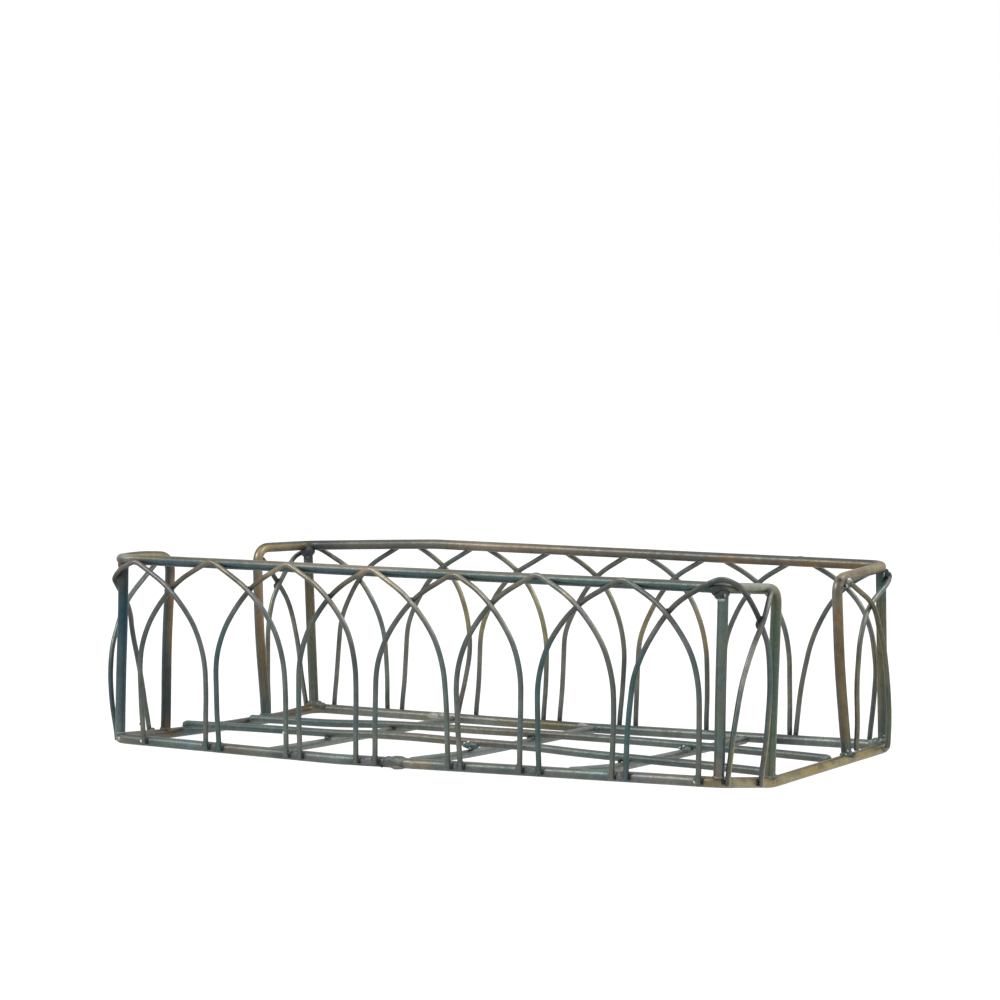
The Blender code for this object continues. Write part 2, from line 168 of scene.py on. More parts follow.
def noise_at(points, scale, seed):
    """Smooth noise, about -1 to 1, at points in millimetres."""
    o = Vector((seed * 17.3, seed * 5.1, seed * 9.7))
    return np.array([noise.noise(Vector(p) / scale + o) for p in points])


# -------------------------------------------------------------- centre-lines
def rounded(points, radii, steps=14):
    pts = [Vector(p) for p in points]
    out = [pts[0]]
    for i in range(1, len(pts) - 1):
        r = radii[i]
        if r <= 0:
            out.append(pts[i])
            continue
        u = (pts[i - 1] - pts[i]).normalized()
        v = (pts[i + 1] - pts[i]).normalized()
        inner = acos(max(-1.0, min(1.0, u.dot(v))))
        cut = r / tan(inner / 2)
        centre = pts[i] + (u + v).normalized() * (r / sin(inner / 2))
        a, b = pts[i] + u * cut - centre, pts[i] + v * cut - centre
        turn = pi - inner
        for k in range(steps + 1):
            t = k / steps
            out.append(centre + (a * sin((1 - t) * turn) + b * sin(t * turn)) / sin(turn))
    out.append(pts[-1])
    return out


def between(u, u0, u1, v0, v1):
    return v0 + (v1 - v0) * (u - u0) / (u1 - u0)


def ring_lift(x, y):
    if y < -RING_Y + CORNER_R:
        if x < FRONT_LOW_X:
            return between(x, -END_X, FRONT_LOW_X, LIFT_FRONT_LEFT, 0.0)
        return between(x, FRONT_LOW_X, END_X, 0.0, LIFT_FRONT_RIGHT)
    if y > RING_Y - CORNER_R:
        return between(x, 0.0, END_X, 0.0, LIFT_BACK_RIGHT) if x > 0 else 0.0
    if x > 0:
        if y < RIGHT_LOW_Y:
            return between(y, -RING_Y, RIGHT_LOW_Y, LIFT_FRONT_RIGHT, -SAG)
        return between(y, RIGHT_LOW_Y, RING_Y, -SAG, LIFT_BACK_RIGHT)
    if y < LEFT_BEND[0]:
        return between(y, -RING_Y, LEFT_BEND[0], LIFT_FRONT_LEFT, LEFT_BEND[1])
    if y < LEFT_FLAT[0]:
        return between(y, LEFT_BEND[0], LEFT_FLAT[0], LEFT_BEND[1], -SAG)
    return -SAG if y < LEFT_FLAT[1] else between(y, LEFT_FLAT[1], RING_Y, -SAG, 0.0)


def plan(s, side, wall_y):
    r = CORNER_R
    if s <= -r:
        return (-END_X, side * (wall_y + s)), (-1.0, 0.0)
    if s < r:
        a = (s + r) / (2 * r) * pi / 2
        n = (-cos(a), side * sin(a))
        return (-END_X + r + r * n[0], side * (wall_y - r) + r * n[1]), n
    if s <= SPAN - r:
        return (-END_X + s, side * wall_y), (0.0, float(side))
    if s < SPAN + r:
        a = (s - SPAN + r) / (2 * r) * pi / 2
        n = (sin(a), side * cos(a))
        return (END_X - r + r * n[0], side * (wall_y - r) + r * n[1]), n
    return (END_X, side * (wall_y - (s - SPAN))), (1.0, 0.0)


def on_wall(s, z, side, off):
    (x0, y0), n = plan(s, side, RING_Y)
    (x1, y1), n = plan(s, side, FRONT_RIM_Y if side < 0 else BACK_RIM_Y)
    t = z / RIM_H
    return Vector((x0 + (x1 - x0) * t + n[0] * off,
                   y0 + (y1 - y0) * t + n[1] * off, BASE_Z + z))


def foot_height(s, side):
    (x, y), n = plan(s, side, RING_Y)
    return ring_lift(x, y) - 0.62 * R_FRAME


def rim_height(x, side):
    if side < 0:
        return RIM_H
    if x < BACK_TOP_X:
        return between(x, -END_X, BACK_TOP_X, BACK_RIM_LEFT, BACK_RIM_TOP)
    return between(x, BACK_TOP_X, END_X, BACK_RIM_TOP, BACK_RIM_RIGHT)


def leg(foot, peak, lean, side, peak_z, arc_r=ARC_R, flank=FLANK, steps=26):
    way = 1.0 if peak > foot else -1.0
    z_foot = foot_height(foot, side)
    p0, p1 = radians(lean), radians(flank)
    run = abs(peak - foot) - arc_r * (cos(p0) - cos(p1))
    rise = peak_z - z_foot - arc_r * (sin(p1) - sin(p0))
    det = tan(p0) * cos(p1) - sin(p1)
    low = (run * cos(p1) - rise * sin(p1)) / det
    z0 = z_foot + low
    s0 = foot + way * low * tan(p0)
    pts = [(foot + way * low * tan(p0) * k / 10, z_foot + low * k / 10) for k in range(10)]
    for k in range(steps + 1):
        a = p0 + (p1 - p0) * k / steps
        pts.append((s0 + way * arc_r * (cos(p0) - cos(a)), z0 + arc_r * (sin(a) - sin(p0))))
    s1, z1 = pts[-1]
    cuts = max(2, int(abs(peak - s1) / 0.8))
    return pts + [(s1 + (peak - s1) * k / cuts, z1 + (peak_z - z1) * k / cuts)
                  for k in range(1, cuts)]


def bow(s, z, low, high, top=0.0):
    """A leg bent by hand: extra travel along the wall low down, high up and near the rim."""
    for amount, at, reach in ((low, 18.0, 18.0), (high, 46.0, 16.0), (top, 57.0, 7.0)):
        u = (z - at) / reach
        if abs(u) < 1:
            s += amount * (1 - u * u) ** 2
    return s


def crossing(foot, side):
    if 0.0 < foot < SPAN:
        return WALL_CROSSING
    return END_CROSSING[("front_" if side < 0 else "back_") + ("left" if foot <= 0 else "right")]


def weave(z, out, at):
    u = (z - at[0]) / at[1]
    return out * WEAVE * (1 - u * u) ** 2 if abs(u) < 1 else 0.0


def stand_off(z, peak_z):
    """Arch wires touch the ring and the rim and stand a little off the wall between."""
    up = min(1.0, max(0.0, (z - 3.0) / 10.0))
    down = min(1.0, max(0.0, (peak_z - 2.0 - z) / 9.0))
    return ARCH_OFF + 0.45 * up * up * (3 - 2 * up) * down * down * (3 - 2 * down)


def corner_kink(s, z, side, off):
    """A leg bent sharply round a corner post instead of following the rounded corner."""
    end = SPAN if s > SPAN / 2 else 0.0
    way = -1.0 if end else 1.0
    u = (s - end) * way
    marks = (4.0, -1.43, -6.0)
    if not marks[2] < u < marks[0]:
        return on_wall(s, z, side, off + corner_room(s))
    a, b = (marks[0], marks[1]) if u > marks[1] else (marks[1], marks[2])
    pa = on_wall(end + way * a, z, side, off + corner_room(a))
    pb = on_wall(end + way * b, z, side, off + corner_room(b))
    return pa + (pb - pa) * ((u - a) / (b - a))


def corner_room(s):
    d = min(abs(s), abs(s - SPAN)) / (CORNER_R + 3.0)
    return 0.35 * (1 - d * d) if d < 1 else 0.0


def resample(points, pitch, closed=False):
    p = np.array([list(q) for q in points], float)
    if closed:
        p = np.vstack([p, p[:1]])
    seg = np.linalg.norm(np.diff(p, axis=0), axis=1)
    keep = np.r_[True, seg > 1e-6]
    p, seg = p[keep], seg[seg > 1e-6]
    at = np.r_[0.0, np.cumsum(seg)]
    n = max(3, int(round(at[-1] / pitch)))
    u = np.linspace(0.0, at[-1], n + 1)
    q = np.stack([np.interp(u, at, p[:, k]) for k in range(3)], axis=1)
    return q[:-1] if closed else q


def soften(p, times, closed=False):
    for _ in range(times):
        if closed:
            p = 0.25 * np.roll(p, 1, 0) + 0.5 * p + 0.25 * np.roll(p, -1, 0)
        else:
            q = p.copy()
            q[1:-1] = 0.25 * p[:-2] + 0.5 * p[1:-1] + 0.25 * p[2:]
            p = q
    return p


def hand_bent(p, amount, wave, seed, closed=False, hold=6.0):
    """Small slow wander of a wire bent by hand; its ends stay where they are."""
    d = np.stack([noise_at(p, wave, seed + k) for k in (0.0, 0.37, 0.71)], axis=1) * amount
    d -= d.mean(axis=0)
    if not closed:
        at = np.r_[0.0, np.cumsum(np.linalg.norm(np.diff(p, axis=0), axis=1))]
        d *= (step(0, hold, at) * step(0, hold, at[-1] - at))[:, None]
    return p + d


# ------------------------------------------------------------------- meshes
PIECES = []
RIGHT = np.array([0.85, 0.53, 0.0])


class Tube:
    """A swept wire: vertices with the place along the wire and the outward normal."""

    def __init__(self, line, radius, sides, closed=False, lump=0.0, seed=0):
        p = np.asarray(line, float)
        n = len(p)
        if closed:
            tan_ = np.roll(p, -1, 0) - np.roll(p, 1, 0)
        else:
            tan_ = np.gradient(p, axis=0)
        tan_ /= np.linalg.norm(tan_, axis=1)[:, None]
        ref = np.array([0.0, 0.0, 1.0]) if abs(tan_[0][2]) < 0.9 else np.array([1.0, 0.0, 0.0])
        u = np.zeros_like(p)
        u[0] = ref - tan_[0] * (ref @ tan_[0])
        u[0] /= np.linalg.norm(u[0])
        for i in range(1, n):
            w = u[i - 1] - tan_[i] * (u[i - 1] @ tan_[i])
            u[i] = w / np.linalg.norm(w)
        if closed:
            w = u[-1] - tan_[0] * (u[-1] @ tan_[0])
            w /= np.linalg.norm(w)
            twist = np.arctan2(np.cross(u[0], w) @ tan_[0], u[0] @ w)
            for i in range(n):
                a = -twist * i / n
                b = np.cross(tan_[i], u[i])
                u[i] = u[i] * cos(a) + b * sin(a)
        v = np.cross(tan_, u)
        at = np.r_[0.0, np.cumsum(np.linalg.norm(np.diff(p, axis=0), axis=1))]
        self.length = at[-1]
        rad = np.broadcast_to(np.asarray(radius, float), (n,)).copy()
        ang = np.linspace(0, 2 * pi, sides, endpoint=False)
        rings, normals, along = [], [], []

        def add(centre, i, r):
            nrm = np.cos(ang)[:, None] * u[i] + np.sin(ang)[:, None] * v[i]
            rings.append(centre + nrm * r)
            normals.append(nrm)
            along.append(np.full(sides, at[i]))

        if not closed:
            add(p[0] - tan_[0] * rad[0] * 0.16, 0, rad[0] * 0.80)
        for i in range(n):
            add(p[i], i, rad[i])
        if not closed:
            add(p[-1] + tan_[-1] * rad[-1] * 0.16, n - 1, rad[-1] * 0.80)
        verts = np.vstack(rings)
        nrm = np.vstack(normals)
        s = np.concatenate(along)
        if lump:
            verts = verts + nrm * (noise_at(verts, 2.6, seed + 3) * lump)[:, None]
        m = len(rings)
        faces = []
        for i in range(m if closed else m - 1):
            a, b = i * sides, ((i + 1) % m) * sides
            for k in range(sides):
                k2 = (k + 1) % sides
                faces.append((a + k, a + k2, b + k2, b + k))
        if not closed:
            c0 = len(verts)
            verts = np.vstack([verts, p[0] - tan_[0] * rad[0] * 0.22, p[-1] + tan_[-1] * rad[-1] * 0.22])
            nrm = np.vstack([nrm, -tan_[0], tan_[-1]])
            s = np.r_[s, at[0], at[-1]]
            last = (m - 1) * sides
            for k in range(sides):
                k2 = (k + 1) % sides
                faces.append((k2, k, c0))
                faces.append((last + k, last + k2, c0 + 1))
        self.verts, self.faces, self.normals = verts, faces, nrm
        self.s, self.t = s, s / max(self.length, 1e-6)
        self.line = p
        self.z = verts[:, 2] - BASE_Z


def blob(centre, axes, sizes, seed, lump=0.24, level=2):
    """A lump of weld metal: a pulled and pitted ball; axes are rows of a 3x3."""
    key = level
    if key not in BALLS:
        import bmesh
        bm = bmesh.new()
        bmesh.ops.create_icosphere(bm, subdivisions=level, radius=1.0)
        BALLS[key] = (np.array([list(v.co) for v in bm.verts]),
                      [tuple(v.index for v in f.verts) for f in bm.faces])
        bm.free()
    d, faces = BALLS[key]
    r = 1 + lump * noise_at(d, 0.62, seed) + 0.4 * lump * noise_at(d, 0.27, seed + 7)
    local = d * r[:, None] * np.asarray(sizes, float)
    verts = local @ np.asarray(axes, float) + np.asarray(centre, float)
    nrm = (d / np.asarray(sizes, float)) @ np.asarray(axes, float)
    nrm /= np.linalg.norm(nrm, axis=1)[:, None]
    return verts, faces, nrm


BALLS = {}
WELDS = {}


def weld(group, centre, sizes, tone, axes=None, seed=0, lump=0.24, level=2, cap=None, soot=0.3):
    axes = np.eye(3) if axes is None else np.asarray(axes, float)
    v, f, n = blob(centre, axes, sizes, seed, lump, level)
    col = np.tile(TONE[tone], (len(v), 1))
    # the upper side of a lump takes the cap tone: partly the weld's own colour, partly painted highlight
    if cap is not None:
        col = mix(col, np.tile(TONE[cap], (len(v), 1)), step(0.1, 0.8, n[:, 2] + 0.4 * noise_at(v, 0.5, seed + 2)))
    col = col * (1 + 0.22 * noise_at(v, 0.45, seed + 5))[:, None]
    WELDS.setdefault(group, []).append((v, f, col, np.full(len(v), soot)))


def make_mesh(name, verts, faces, col, soot, mat, smooth=True):
    me = bpy.data.meshes.new(name)
    me.from_pydata([tuple(v) for v in np.asarray(verts) * MM], [], faces)
    a = me.attributes.new("patina", "FLOAT_COLOR", "POINT")
    a.data.foreach_set("color", np.c_[np.clip(col, 0.0, 1.0), np.ones(len(verts))].astype(np.float32).ravel())
    b = me.attributes.new("soot", "FLOAT", "POINT")
    b.data.foreach_set("value", np.clip(soot, 0, 1).astype(np.float32))
    if smooth:
        me.polygons.foreach_set("use_smooth", [True] * len(me.polygons))
    me.materials.append(mat)
    me.update()
    obj = bpy.data.objects.new(name, me)
    bpy.context.scene.collection.objects.link(obj)
    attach(obj, "root")
    PIECES.append(obj)
    return obj


# ---------------------------------------------------------------- materials
def patina_material(name, rough, grain, pits, metallic=0.82):
    mat = bpy.data.materials.new(name)
    mat.use_nodes = True
    nt = mat.node_tree
    bsdf = nt.nodes["Principled BSDF"]
    out = nt.nodes["Material Output"]

    def node(kind, **inputs):
        nd = nt.nodes.new(kind)
        for k, v in inputs.items():
            nd.inputs[k].default_value = v
        return nd

    link = nt.links.new
    coord = nt.nodes.new("ShaderNodeTexCoord")
    paint = nt.nodes.new("ShaderNodeAttribute")
    paint.attribute_name = "patina"
    soot = nt.nodes.new("ShaderNodeAttribute")
    soot.attribute_name = "soot"

    # mottled oxide: soft patches lighter and darker than the painted tone
    mottle = node("ShaderNodeTexNoise", Scale=grain, Detail=5.0, Roughness=0.62, Distortion=0.6)
    link(coord.outputs["Object"], mottle.inputs["Vector"])
    shade = nt.nodes.new("ShaderNodeValToRGB")
    shade.color_ramp.elements[0].position, shade.color_ramp.elements[0].color = 0.28, (0.80, 0.82, 0.83, 1)
    shade.color_ramp.elements[1].position, shade.color_ramp.elements[1].color = 0.72, (1.17, 1.15, 1.12, 1)
    link(mottle.outputs["Fac"], shade.inputs["Fac"])
    mul = nt.nodes.new("ShaderNodeMix")
    mul.data_type, mul.blend_type = "RGBA", "MULTIPLY"
    mul.inputs["Factor"].default_value = 1.0
    link(paint.outputs["Color"], mul.inputs["A"])
    link(shade.outputs["Color"], mul.inputs["B"])

    # fine specks: dark pits and worn bright points
    speck = node("ShaderNodeTexNoise", Scale=grain * 5.5, Detail=3.0, Roughness=0.7)
    link(coord.outputs["Object"], speck.inputs["Vector"])
    fleck = nt.nodes.new("ShaderNodeValToRGB")
    fleck.color_ramp.elements[0].position, fleck.color_ramp.elements[0].color = 0.30, (0.74, 0.73, 0.71, 1)
    fleck.color_ramp.elements[1].position, fleck.color_ramp.elements[1].color = 0.46, (1.0, 1.0, 1.0, 1)
    top = fleck.color_ramp.elements.new(0.70)
    top.color = (1.13, 1.12, 1.10, 1)
    link(speck.outputs["Fac"], fleck.inputs["Fac"])
    mul2 = nt.nodes.new("ShaderNodeMix")
    mul2.data_type, mul2.blend_type = "RGBA", "MULTIPLY"
    mul2.inputs["Factor"].default_value = 0.6
    link(mul.outputs["Result"], mul2.inputs["A"])
    link(fleck.outputs["Color"], mul2.inputs["B"])
    link(mul2.outputs["Result"], bsdf.inputs["Base Color"])

    # roughness: satin metal, duller in the mottle and on soot
    r1 = node("ShaderNodeMapRange", **{"From Min": 0.3, "From Max": 0.7, "To Min": rough + 0.10, "To Max": rough - 0.07})
    link(mottle.outputs["Fac"], r1.inputs["Value"])
    r2 = nt.nodes.new("ShaderNodeMath")
    r2.operation = "MULTIPLY_ADD"
    r2.inputs[1].default_value = 0.35
    link(soot.outputs["Fac"], r2.inputs[0])
    link(r1.outputs["Result"], r2.inputs[2])
    link(r2.outputs["Value"], bsdf.inputs["Roughness"])

    # soot and flux are not bare metal
    m1 = node("ShaderNodeMapRange", **{"From Min": 0.0, "From Max": 1.0, "To Min": metallic, "To Max": 0.25})
    link(soot.outputs["Fac"], m1.inputs["Value"])
    link(m1.outputs["Result"], bsdf.inputs["Metallic"])

    # drawn wire: faint dents and pits
    bump1 = node("ShaderNodeBump", Strength=pits, Distance=0.00025)
    link(mottle.outputs["Fac"], bump1.inputs["Height"])
    bump2 = node("ShaderNodeBump", Strength=pits * 0.8, Distance=0.00008)
    link(speck.outputs["Fac"], bump2.inputs["Height"])
    link(bump1.outputs["Normal"], bump2.inputs["Normal"])
    link(bump2.outputs["Normal"], bsdf.inputs["Normal"])
    bsdf.inputs["IOR"].default_value = 1.6
    link(bsdf.outputs["BSDF"], out.inputs["Surface"])
    return mat


MATERIALS = {
    "ring_wire": patina_material("ring_patina", 0.40, 520.0, 0.30),
    "rim_wire": patina_material("rim_patina", 0.40, 480.0, 0.20),
    "post_wire": patina_material("post_patina", 0.41, 500.0, 0.22),
    "floor_rod": patina_material("rod_patina", 0.42, 560.0, 0.30),
    "arch_wire": patina_material("arch_patina", 0.40, 700.0, 0.11),
    "weld": patina_material("weld_metal", 0.42, 900.0, 0.5, 0.7),
}

# soot spots (point, reach, strength) and tint spots (point, reach, tone, strength)
SOOT, TINT = [], []


def paint(tube, spec, seed):
    """Colour and soot per vertex of a wire, from its tones and the spots near it, with painted highlight and shade on
    its top, its sides and its underside.
    """
    coord = spec.get("along", "t")
    u = {"t": tube.t, "z": tube.z, "x": tube.verts[:, 0], "y": tube.verts[:, 1]}[coord]
    u = u + spec.get("ragged", 0.0) * noise_at(tube.verts, 5.0, seed + 1)
    n, p = tube.normals, tube.verts
    col = ramp(spec["face"], u)
    slow = noise_at(p, 9.0, seed + 2)
    fast = noise_at(p, 2.2, seed + 3)
    if "alt" in spec:
        col = mix(col, ramp(spec["alt"], u), spec.get("alt_share", 0.5) * step(-0.1, 0.45, slow + 0.35 * fast))
    # the sides turned towards RIGHT and away from it take their own tones: partly patina, partly painted light and
    # shade
    if "right" in spec:
        col = mix(col, ramp(spec["right"], u),
                  spec.get("right_share", 0.8) * step(0.0, 0.75, n @ RIGHT + 0.2 * slow))
    if "left" in spec:
        col = mix(col, ramp(spec["left"], u),
                  spec.get("left_share", 0.8) * step(0.0, 0.75, -(n @ RIGHT) + 0.2 * slow))
    # the top of the wire takes the top tones: partly patina, partly painted highlight and shade
    if "top" in spec:
        col = mix(col, ramp(spec["top"], u),
                  spec.get("top_share", 0.85) * step(spec.get("top_from", 0.25), 0.9, n[:, 2] + 0.25 * slow))
    # painted shade: the underside is darkened by the spec's underside amount
    low = step(0.15, 0.95, -n[:, 2])
    col = col * (1 - spec.get("under", 0.3) * low)[:, None]
    for tone, mask in spec.get("extra", ()):
        col = mix(col, np.tile(TONE[tone], (len(p), 1)), np.clip(mask(tube), 0, 1))
    vary = spec.get("vary", 0.10)
    col = col * (1 + vary * slow + 0.10 * fast + (vary - 0.10) * noise_at(p, 4.5, seed + 6))[:, None]
    tint = noise_at(p, 6.5, seed + 4) + 0.5 * noise_at(p, 2.8, seed + 5)
    col = col * (1 + 0.11 * tint[:, None] * np.array([1.0, 0.05, -0.9]))
    for point, reach, tone, strength in TINT:
        d = np.linalg.norm(p - np.asarray(point), axis=1)
        if d.min() < reach:
            w = strength * step(1.0, 0.15, d / reach + 0.25 * fast)
            col = mix(col, np.tile(TONE[tone], (len(p), 1)), w)
    soot = np.zeros(len(p))
    for point, reach, strength in SOOT:
        d = np.linalg.norm(p - np.asarray(point), axis=1)
        if d.min() < reach:
            soot = np.maximum(soot, strength * step(1.0, 0.25, d / reach + 0.3 * fast))
    col = mix(col, np.tile(TONE["soot"], (len(p), 1)), 0.92 * soot)
    return col, soot


WIRES = []      # (node, tube, spec, slot)


def wire(node, tube, spec, slot):
    WIRES.append((node, tube, spec, slot))
    return tube


# --------------------------------------------------------------------- ring
def ring_vertex(x, y):
    return (x, y, BASE_Z + ring_lift(x, y))


ring_line = [
    ring_vertex(-END_X, LEFT_FLAT[0]), ring_vertex(-END_X, LEFT_BEND[0]), ring_vertex(-END_X, -RING_Y), ring_vertex(FRONT_LOW_X, -RING_Y),
    ring_vertex(END_X, -RING_Y), ring_vertex(END_X, RIGHT_LOW_Y), ring_vertex(END_X, RING_Y),
    ring_vertex(0.0, RING_Y), ring_vertex(-END_X, RING_Y), ring_vertex(-END_X, LEFT_FLAT[1]), ring_vertex(-END_X, LEFT_FLAT[0]),
]
ring_turns = [CORNER_R if abs(p[0]) == END_X and abs(p[1]) == RING_Y else 0 for p in ring_line]
ring_path = resample(rounded(ring_line, ring_turns)[:-1], 0.7, closed=True)
ring_path = soften(ring_path, 10, closed=True)
ring_path[:, 2] = np.maximum(ring_path[:, 2], BASE_Z - SAG)
on_front = ring_path[:, 1] < -RING_Y + 1.5
seam = np.where(on_front, np.abs(ring_path[:, 0] - SEAM_X), 99.0)
ring_radius = R_FRAME * (1 + 0.012 * noise_at(ring_path, 7.0, 2))
seam_ring = ring_radius.copy()
ring_spec = {
    "along": "t", "face": [(0, "stone"), (1, "stone")], "under": 0.35, "top_share": 0.6,
}


def by_place(table):
    """Tones round the ring: table of (bar, place along the bar, tone)."""
    def colour(tube):
        x, y = tube.verts[:, 0], tube.verts[:, 1]
        f = ramp(table["front"], x)
        b = ramp(table["back"], x)
        l = ramp(table["left"], y)
        r = ramp(table["right"], y)
        wy = step(-RING_Y + 7, -RING_Y + 2, y)
        wb = step(RING_Y - 7, RING_Y - 2, y)
        wx = step(END_X - 8, END_X - 1.5, x)
        wl = step(-END_X + 8, -END_X + 1.5, x)
        tot = np.maximum(wy + wb + wx + wl, 1e-6)
        return (f * wy[:, None] + b * wb[:, None] + r * wx[:, None] + l * wl[:, None]) / tot[:, None]
    return colour


RING_FACE = by_place({
    "front": [(-118, "taupe"), (-106, "ash"), (-101, "pewter"), (-92, "seaglass"), (-80, "fog"), (-74, "plum"), (-66, "taupe"),
              (-54, "stone"), (-46, "lead"), (-36, "plum"), (-24, "fog"), (-17, "pewter"), (-8, "pewter"), (0, "ash"), (3, "fawn"),
              (10, "fawn"), (13, "ash"), (24, "ash"), (40, "pewter"), (52, "plum"), (62, "ash"), (74, "seaglass"), (85, "plum"),
              (97, "stone"), (108, "ash"), (118, "ochre")],
    "back": [(-118, "taupe"), (-95, "stone"), (-64, "stone"), (-52, "ash"), (-40, "stone"), (-15, "olive"), (2, "lead"), (15, "pewter"),
             (30, "ash"), (45, "ash"), (52, "pewter"), (64, "ash"), (75, "char"), (86, "ash"), (100, "fog"), (118, "taupe")],
    "left": [(-58, "stone"), (-45, "stone"), (-36, "taupe"), (-27, "umber"), (-17, "dusk"), (-5, "taupe"), (25, "taupe"),
             (45, "olive"), (58, "stone")],
    "right": [(-58, "gold"), (-48, "straw"), (-36, "straw"), (-28, "honey"), (-14, "straw"), (2, "honey"), (20, "straw"), (36, "honey"), (58, "gold")],
})
# tones for the top of the ring, mixed in by the tilt of the surface: partly patina, partly painted highlight
RING_TOP = by_place({
    "front": [(-118, "stone"), (-102, "ash"), (-92, "mist"), (-80, "haze"), (-66, "stone"), (-54, "stone"), (-36, "haze"), (-22, "mist"),
              (-8, "stone"), (4, "fawn"), (10, "fawn"), (14, "ash"), (24, "haze"), (40, "steel"), (62, "haze"), (76, "mist"), (88, "stone"),
              (106, "fawn"), (118, "tan")],
    "back": [(-118, "stone"), (-60, "stone"), (0, "taupe"), (25, "haze"), (60, "stone"), (76, "plum"), (92, "steel"), (118, "stone")],
    "left": [(-58, "steel"), (-30, "stone"), (-10, "lead"), (25, "stone"), (58, "stone")],
    "right": [(-58, "fawn"), (-40, "tan"), (0, "gold"), (30, "tan"), (58, "fawn")],
})

# -------------------------------------------------------------------- wires
ring_tube = Tube(ring_path, seam_ring, 20, closed=True)
ring_tube.verts[:, 2] = np.maximum(ring_tube.verts[:, 2], 0.004)

rim_tubes = {}
for side, word, wall_y in ((-1, "front", FRONT_RIM_Y), (1, "back", BACK_RIM_Y)):
    line, radii = [], []
    for hand, x in (("left", -END_X), ("right", END_X)):
        foot_y, top_y, dip = RETURNS[word + "_" + hand]
        h = rim_height(x, side)
        part = [(x, foot_y, BASE_Z + ring_lift(x, foot_y) + R_FRAME - 0.2),
                (x, top_y, BASE_Z + h - dip), (x, side * wall_y, BASE_Z + h)]
        turn = [0, *RIM_TURNS[word + "_" + hand]]
        if hand == "left":
            line, radii = part + [(BACK_TOP_X, side * wall_y, BASE_Z + rim_height(BACK_TOP_X, side))], turn + [0]
        else:
            line, radii = line + part[::-1], radii + turn[::-1]
    p = soften(resample(rounded(line, radii), 0.8), 8)
    p = hand_bent(p, 0.12, 38.0, 5 + side)
    for hand, x in (("left", -1), ("right", 1)):
        on = (p[:, 0] * x > END_X - 1.5) & (np.abs(p[:, 1]) < 31.0)
        p[on, 1] -= RETURN_BOW[word + "_" + hand] * np.sin(pi * np.clip((p[on, 2] - SAG - 3.0) / 58.0, 0, 1)) ** 2
    if side < 0:
        p[:, 0] -= RIM_LEAN * step(-98.0, -112.0, p[:, 0]) * np.clip((p[:, 2] - SAG - 8.0) / 50.0, 0, 1)
        seg = (p[:, 0] < -END_X + 1.0) & (p[:, 1] < -24.0) & (p[:, 2] > 52.0)
        p[seg, 2] += 0.4 * np.sin(pi * np.clip((p[seg, 1] + 56.0) / 30.0, 0, 1)) ** 2
    rim_tubes[word] = Tube(p, R_FRAME * (1 + 0.012 * noise_at(p, 7.0, 9 + side)), 18)

post_tubes = {}
for side, word, wall_y in ((-1, "front", FRONT_RIM_Y), (1, "back", BACK_RIM_Y)):
    for hand, s, x in (("left", 0.0, -END_X), ("right", SPAN, END_X)):
        (x0, y0), n0 = plan(s, side, RING_Y)
        (x1, y1), n1 = plan(s, side, wall_y)
        a = (x0, y0, BASE_Z + ring_lift(x0, y0) + R_FRAME - 0.35)
        b = (x1, y1, BASE_Z + rim_height(x, side) - R_FRAME + 0.35)
        if (word, hand) == ("back", "right"):
            a, b = (a[0], a[1] - 0.9, a[2]), (b[0], b[1] + 0.4, b[2])
        p = hand_bent(resample([a, b], 0.8), 0.2, 30.0, 12 + side + x / 50)
        post_tubes[word + "_" + hand] = Tube(p, R_FRAME * (1 + 0.012 * noise_at(p, 6.0, 31 + side + x / 60)), 18)

rod_tubes = {}
reach_y = RING_Y - R_FRAME + 0.15
for word, (x, front_z, back_z) in CROSS_RODS.items():
    level_z = min(front_z, -0.05)
    line = [(x, -reach_y, BASE_Z + front_z), (x, CROSS_LEVEL_Y, BASE_Z + level_z), (x, reach_y, BASE_Z + back_z)]
    p = hand_bent(soften(resample(line, 1.0), 30), 0.2, 40.0, x / 9)
    p[:, 2] = np.maximum(p[:, 2], R_ROD + 0.02)
    rod_tubes["cross_rod_" + word] = Tube(p, R_ROD * (1 + 0.012 * noise_at(p, 6.0, 41)), 16)
reach_x = END_X - R_FRAME - 1.0
for word in ("front", "back"):
    y0, y1 = LONG_Y[word]
    xs = np.linspace(-reach_x, reach_x, 220)
    zs = BASE_Z + np.interp(xs, [a for a, b in LONG_Z[word]], [b for a, b in LONG_Z[word]])
    p = soften(resample(np.stack([xs, np.interp(xs, [-reach_x, reach_x], [y0, y1]), zs], axis=1), 1.0), 40)
    p = hand_bent(p, 0.12, 36.0, 17 if word == "front" else 23)
    rod_tubes["long_rod_" + word] = Tube(p, R_ROD * (1 + 0.012 * noise_at(p, 6.0, 43)), 16)


def place(spec):
    if spec[0] == "end":
        return (spec[1] if spec[1] < 0 else SPAN + spec[1], spec[2])
    return (spec[0] + END_X, spec[1])


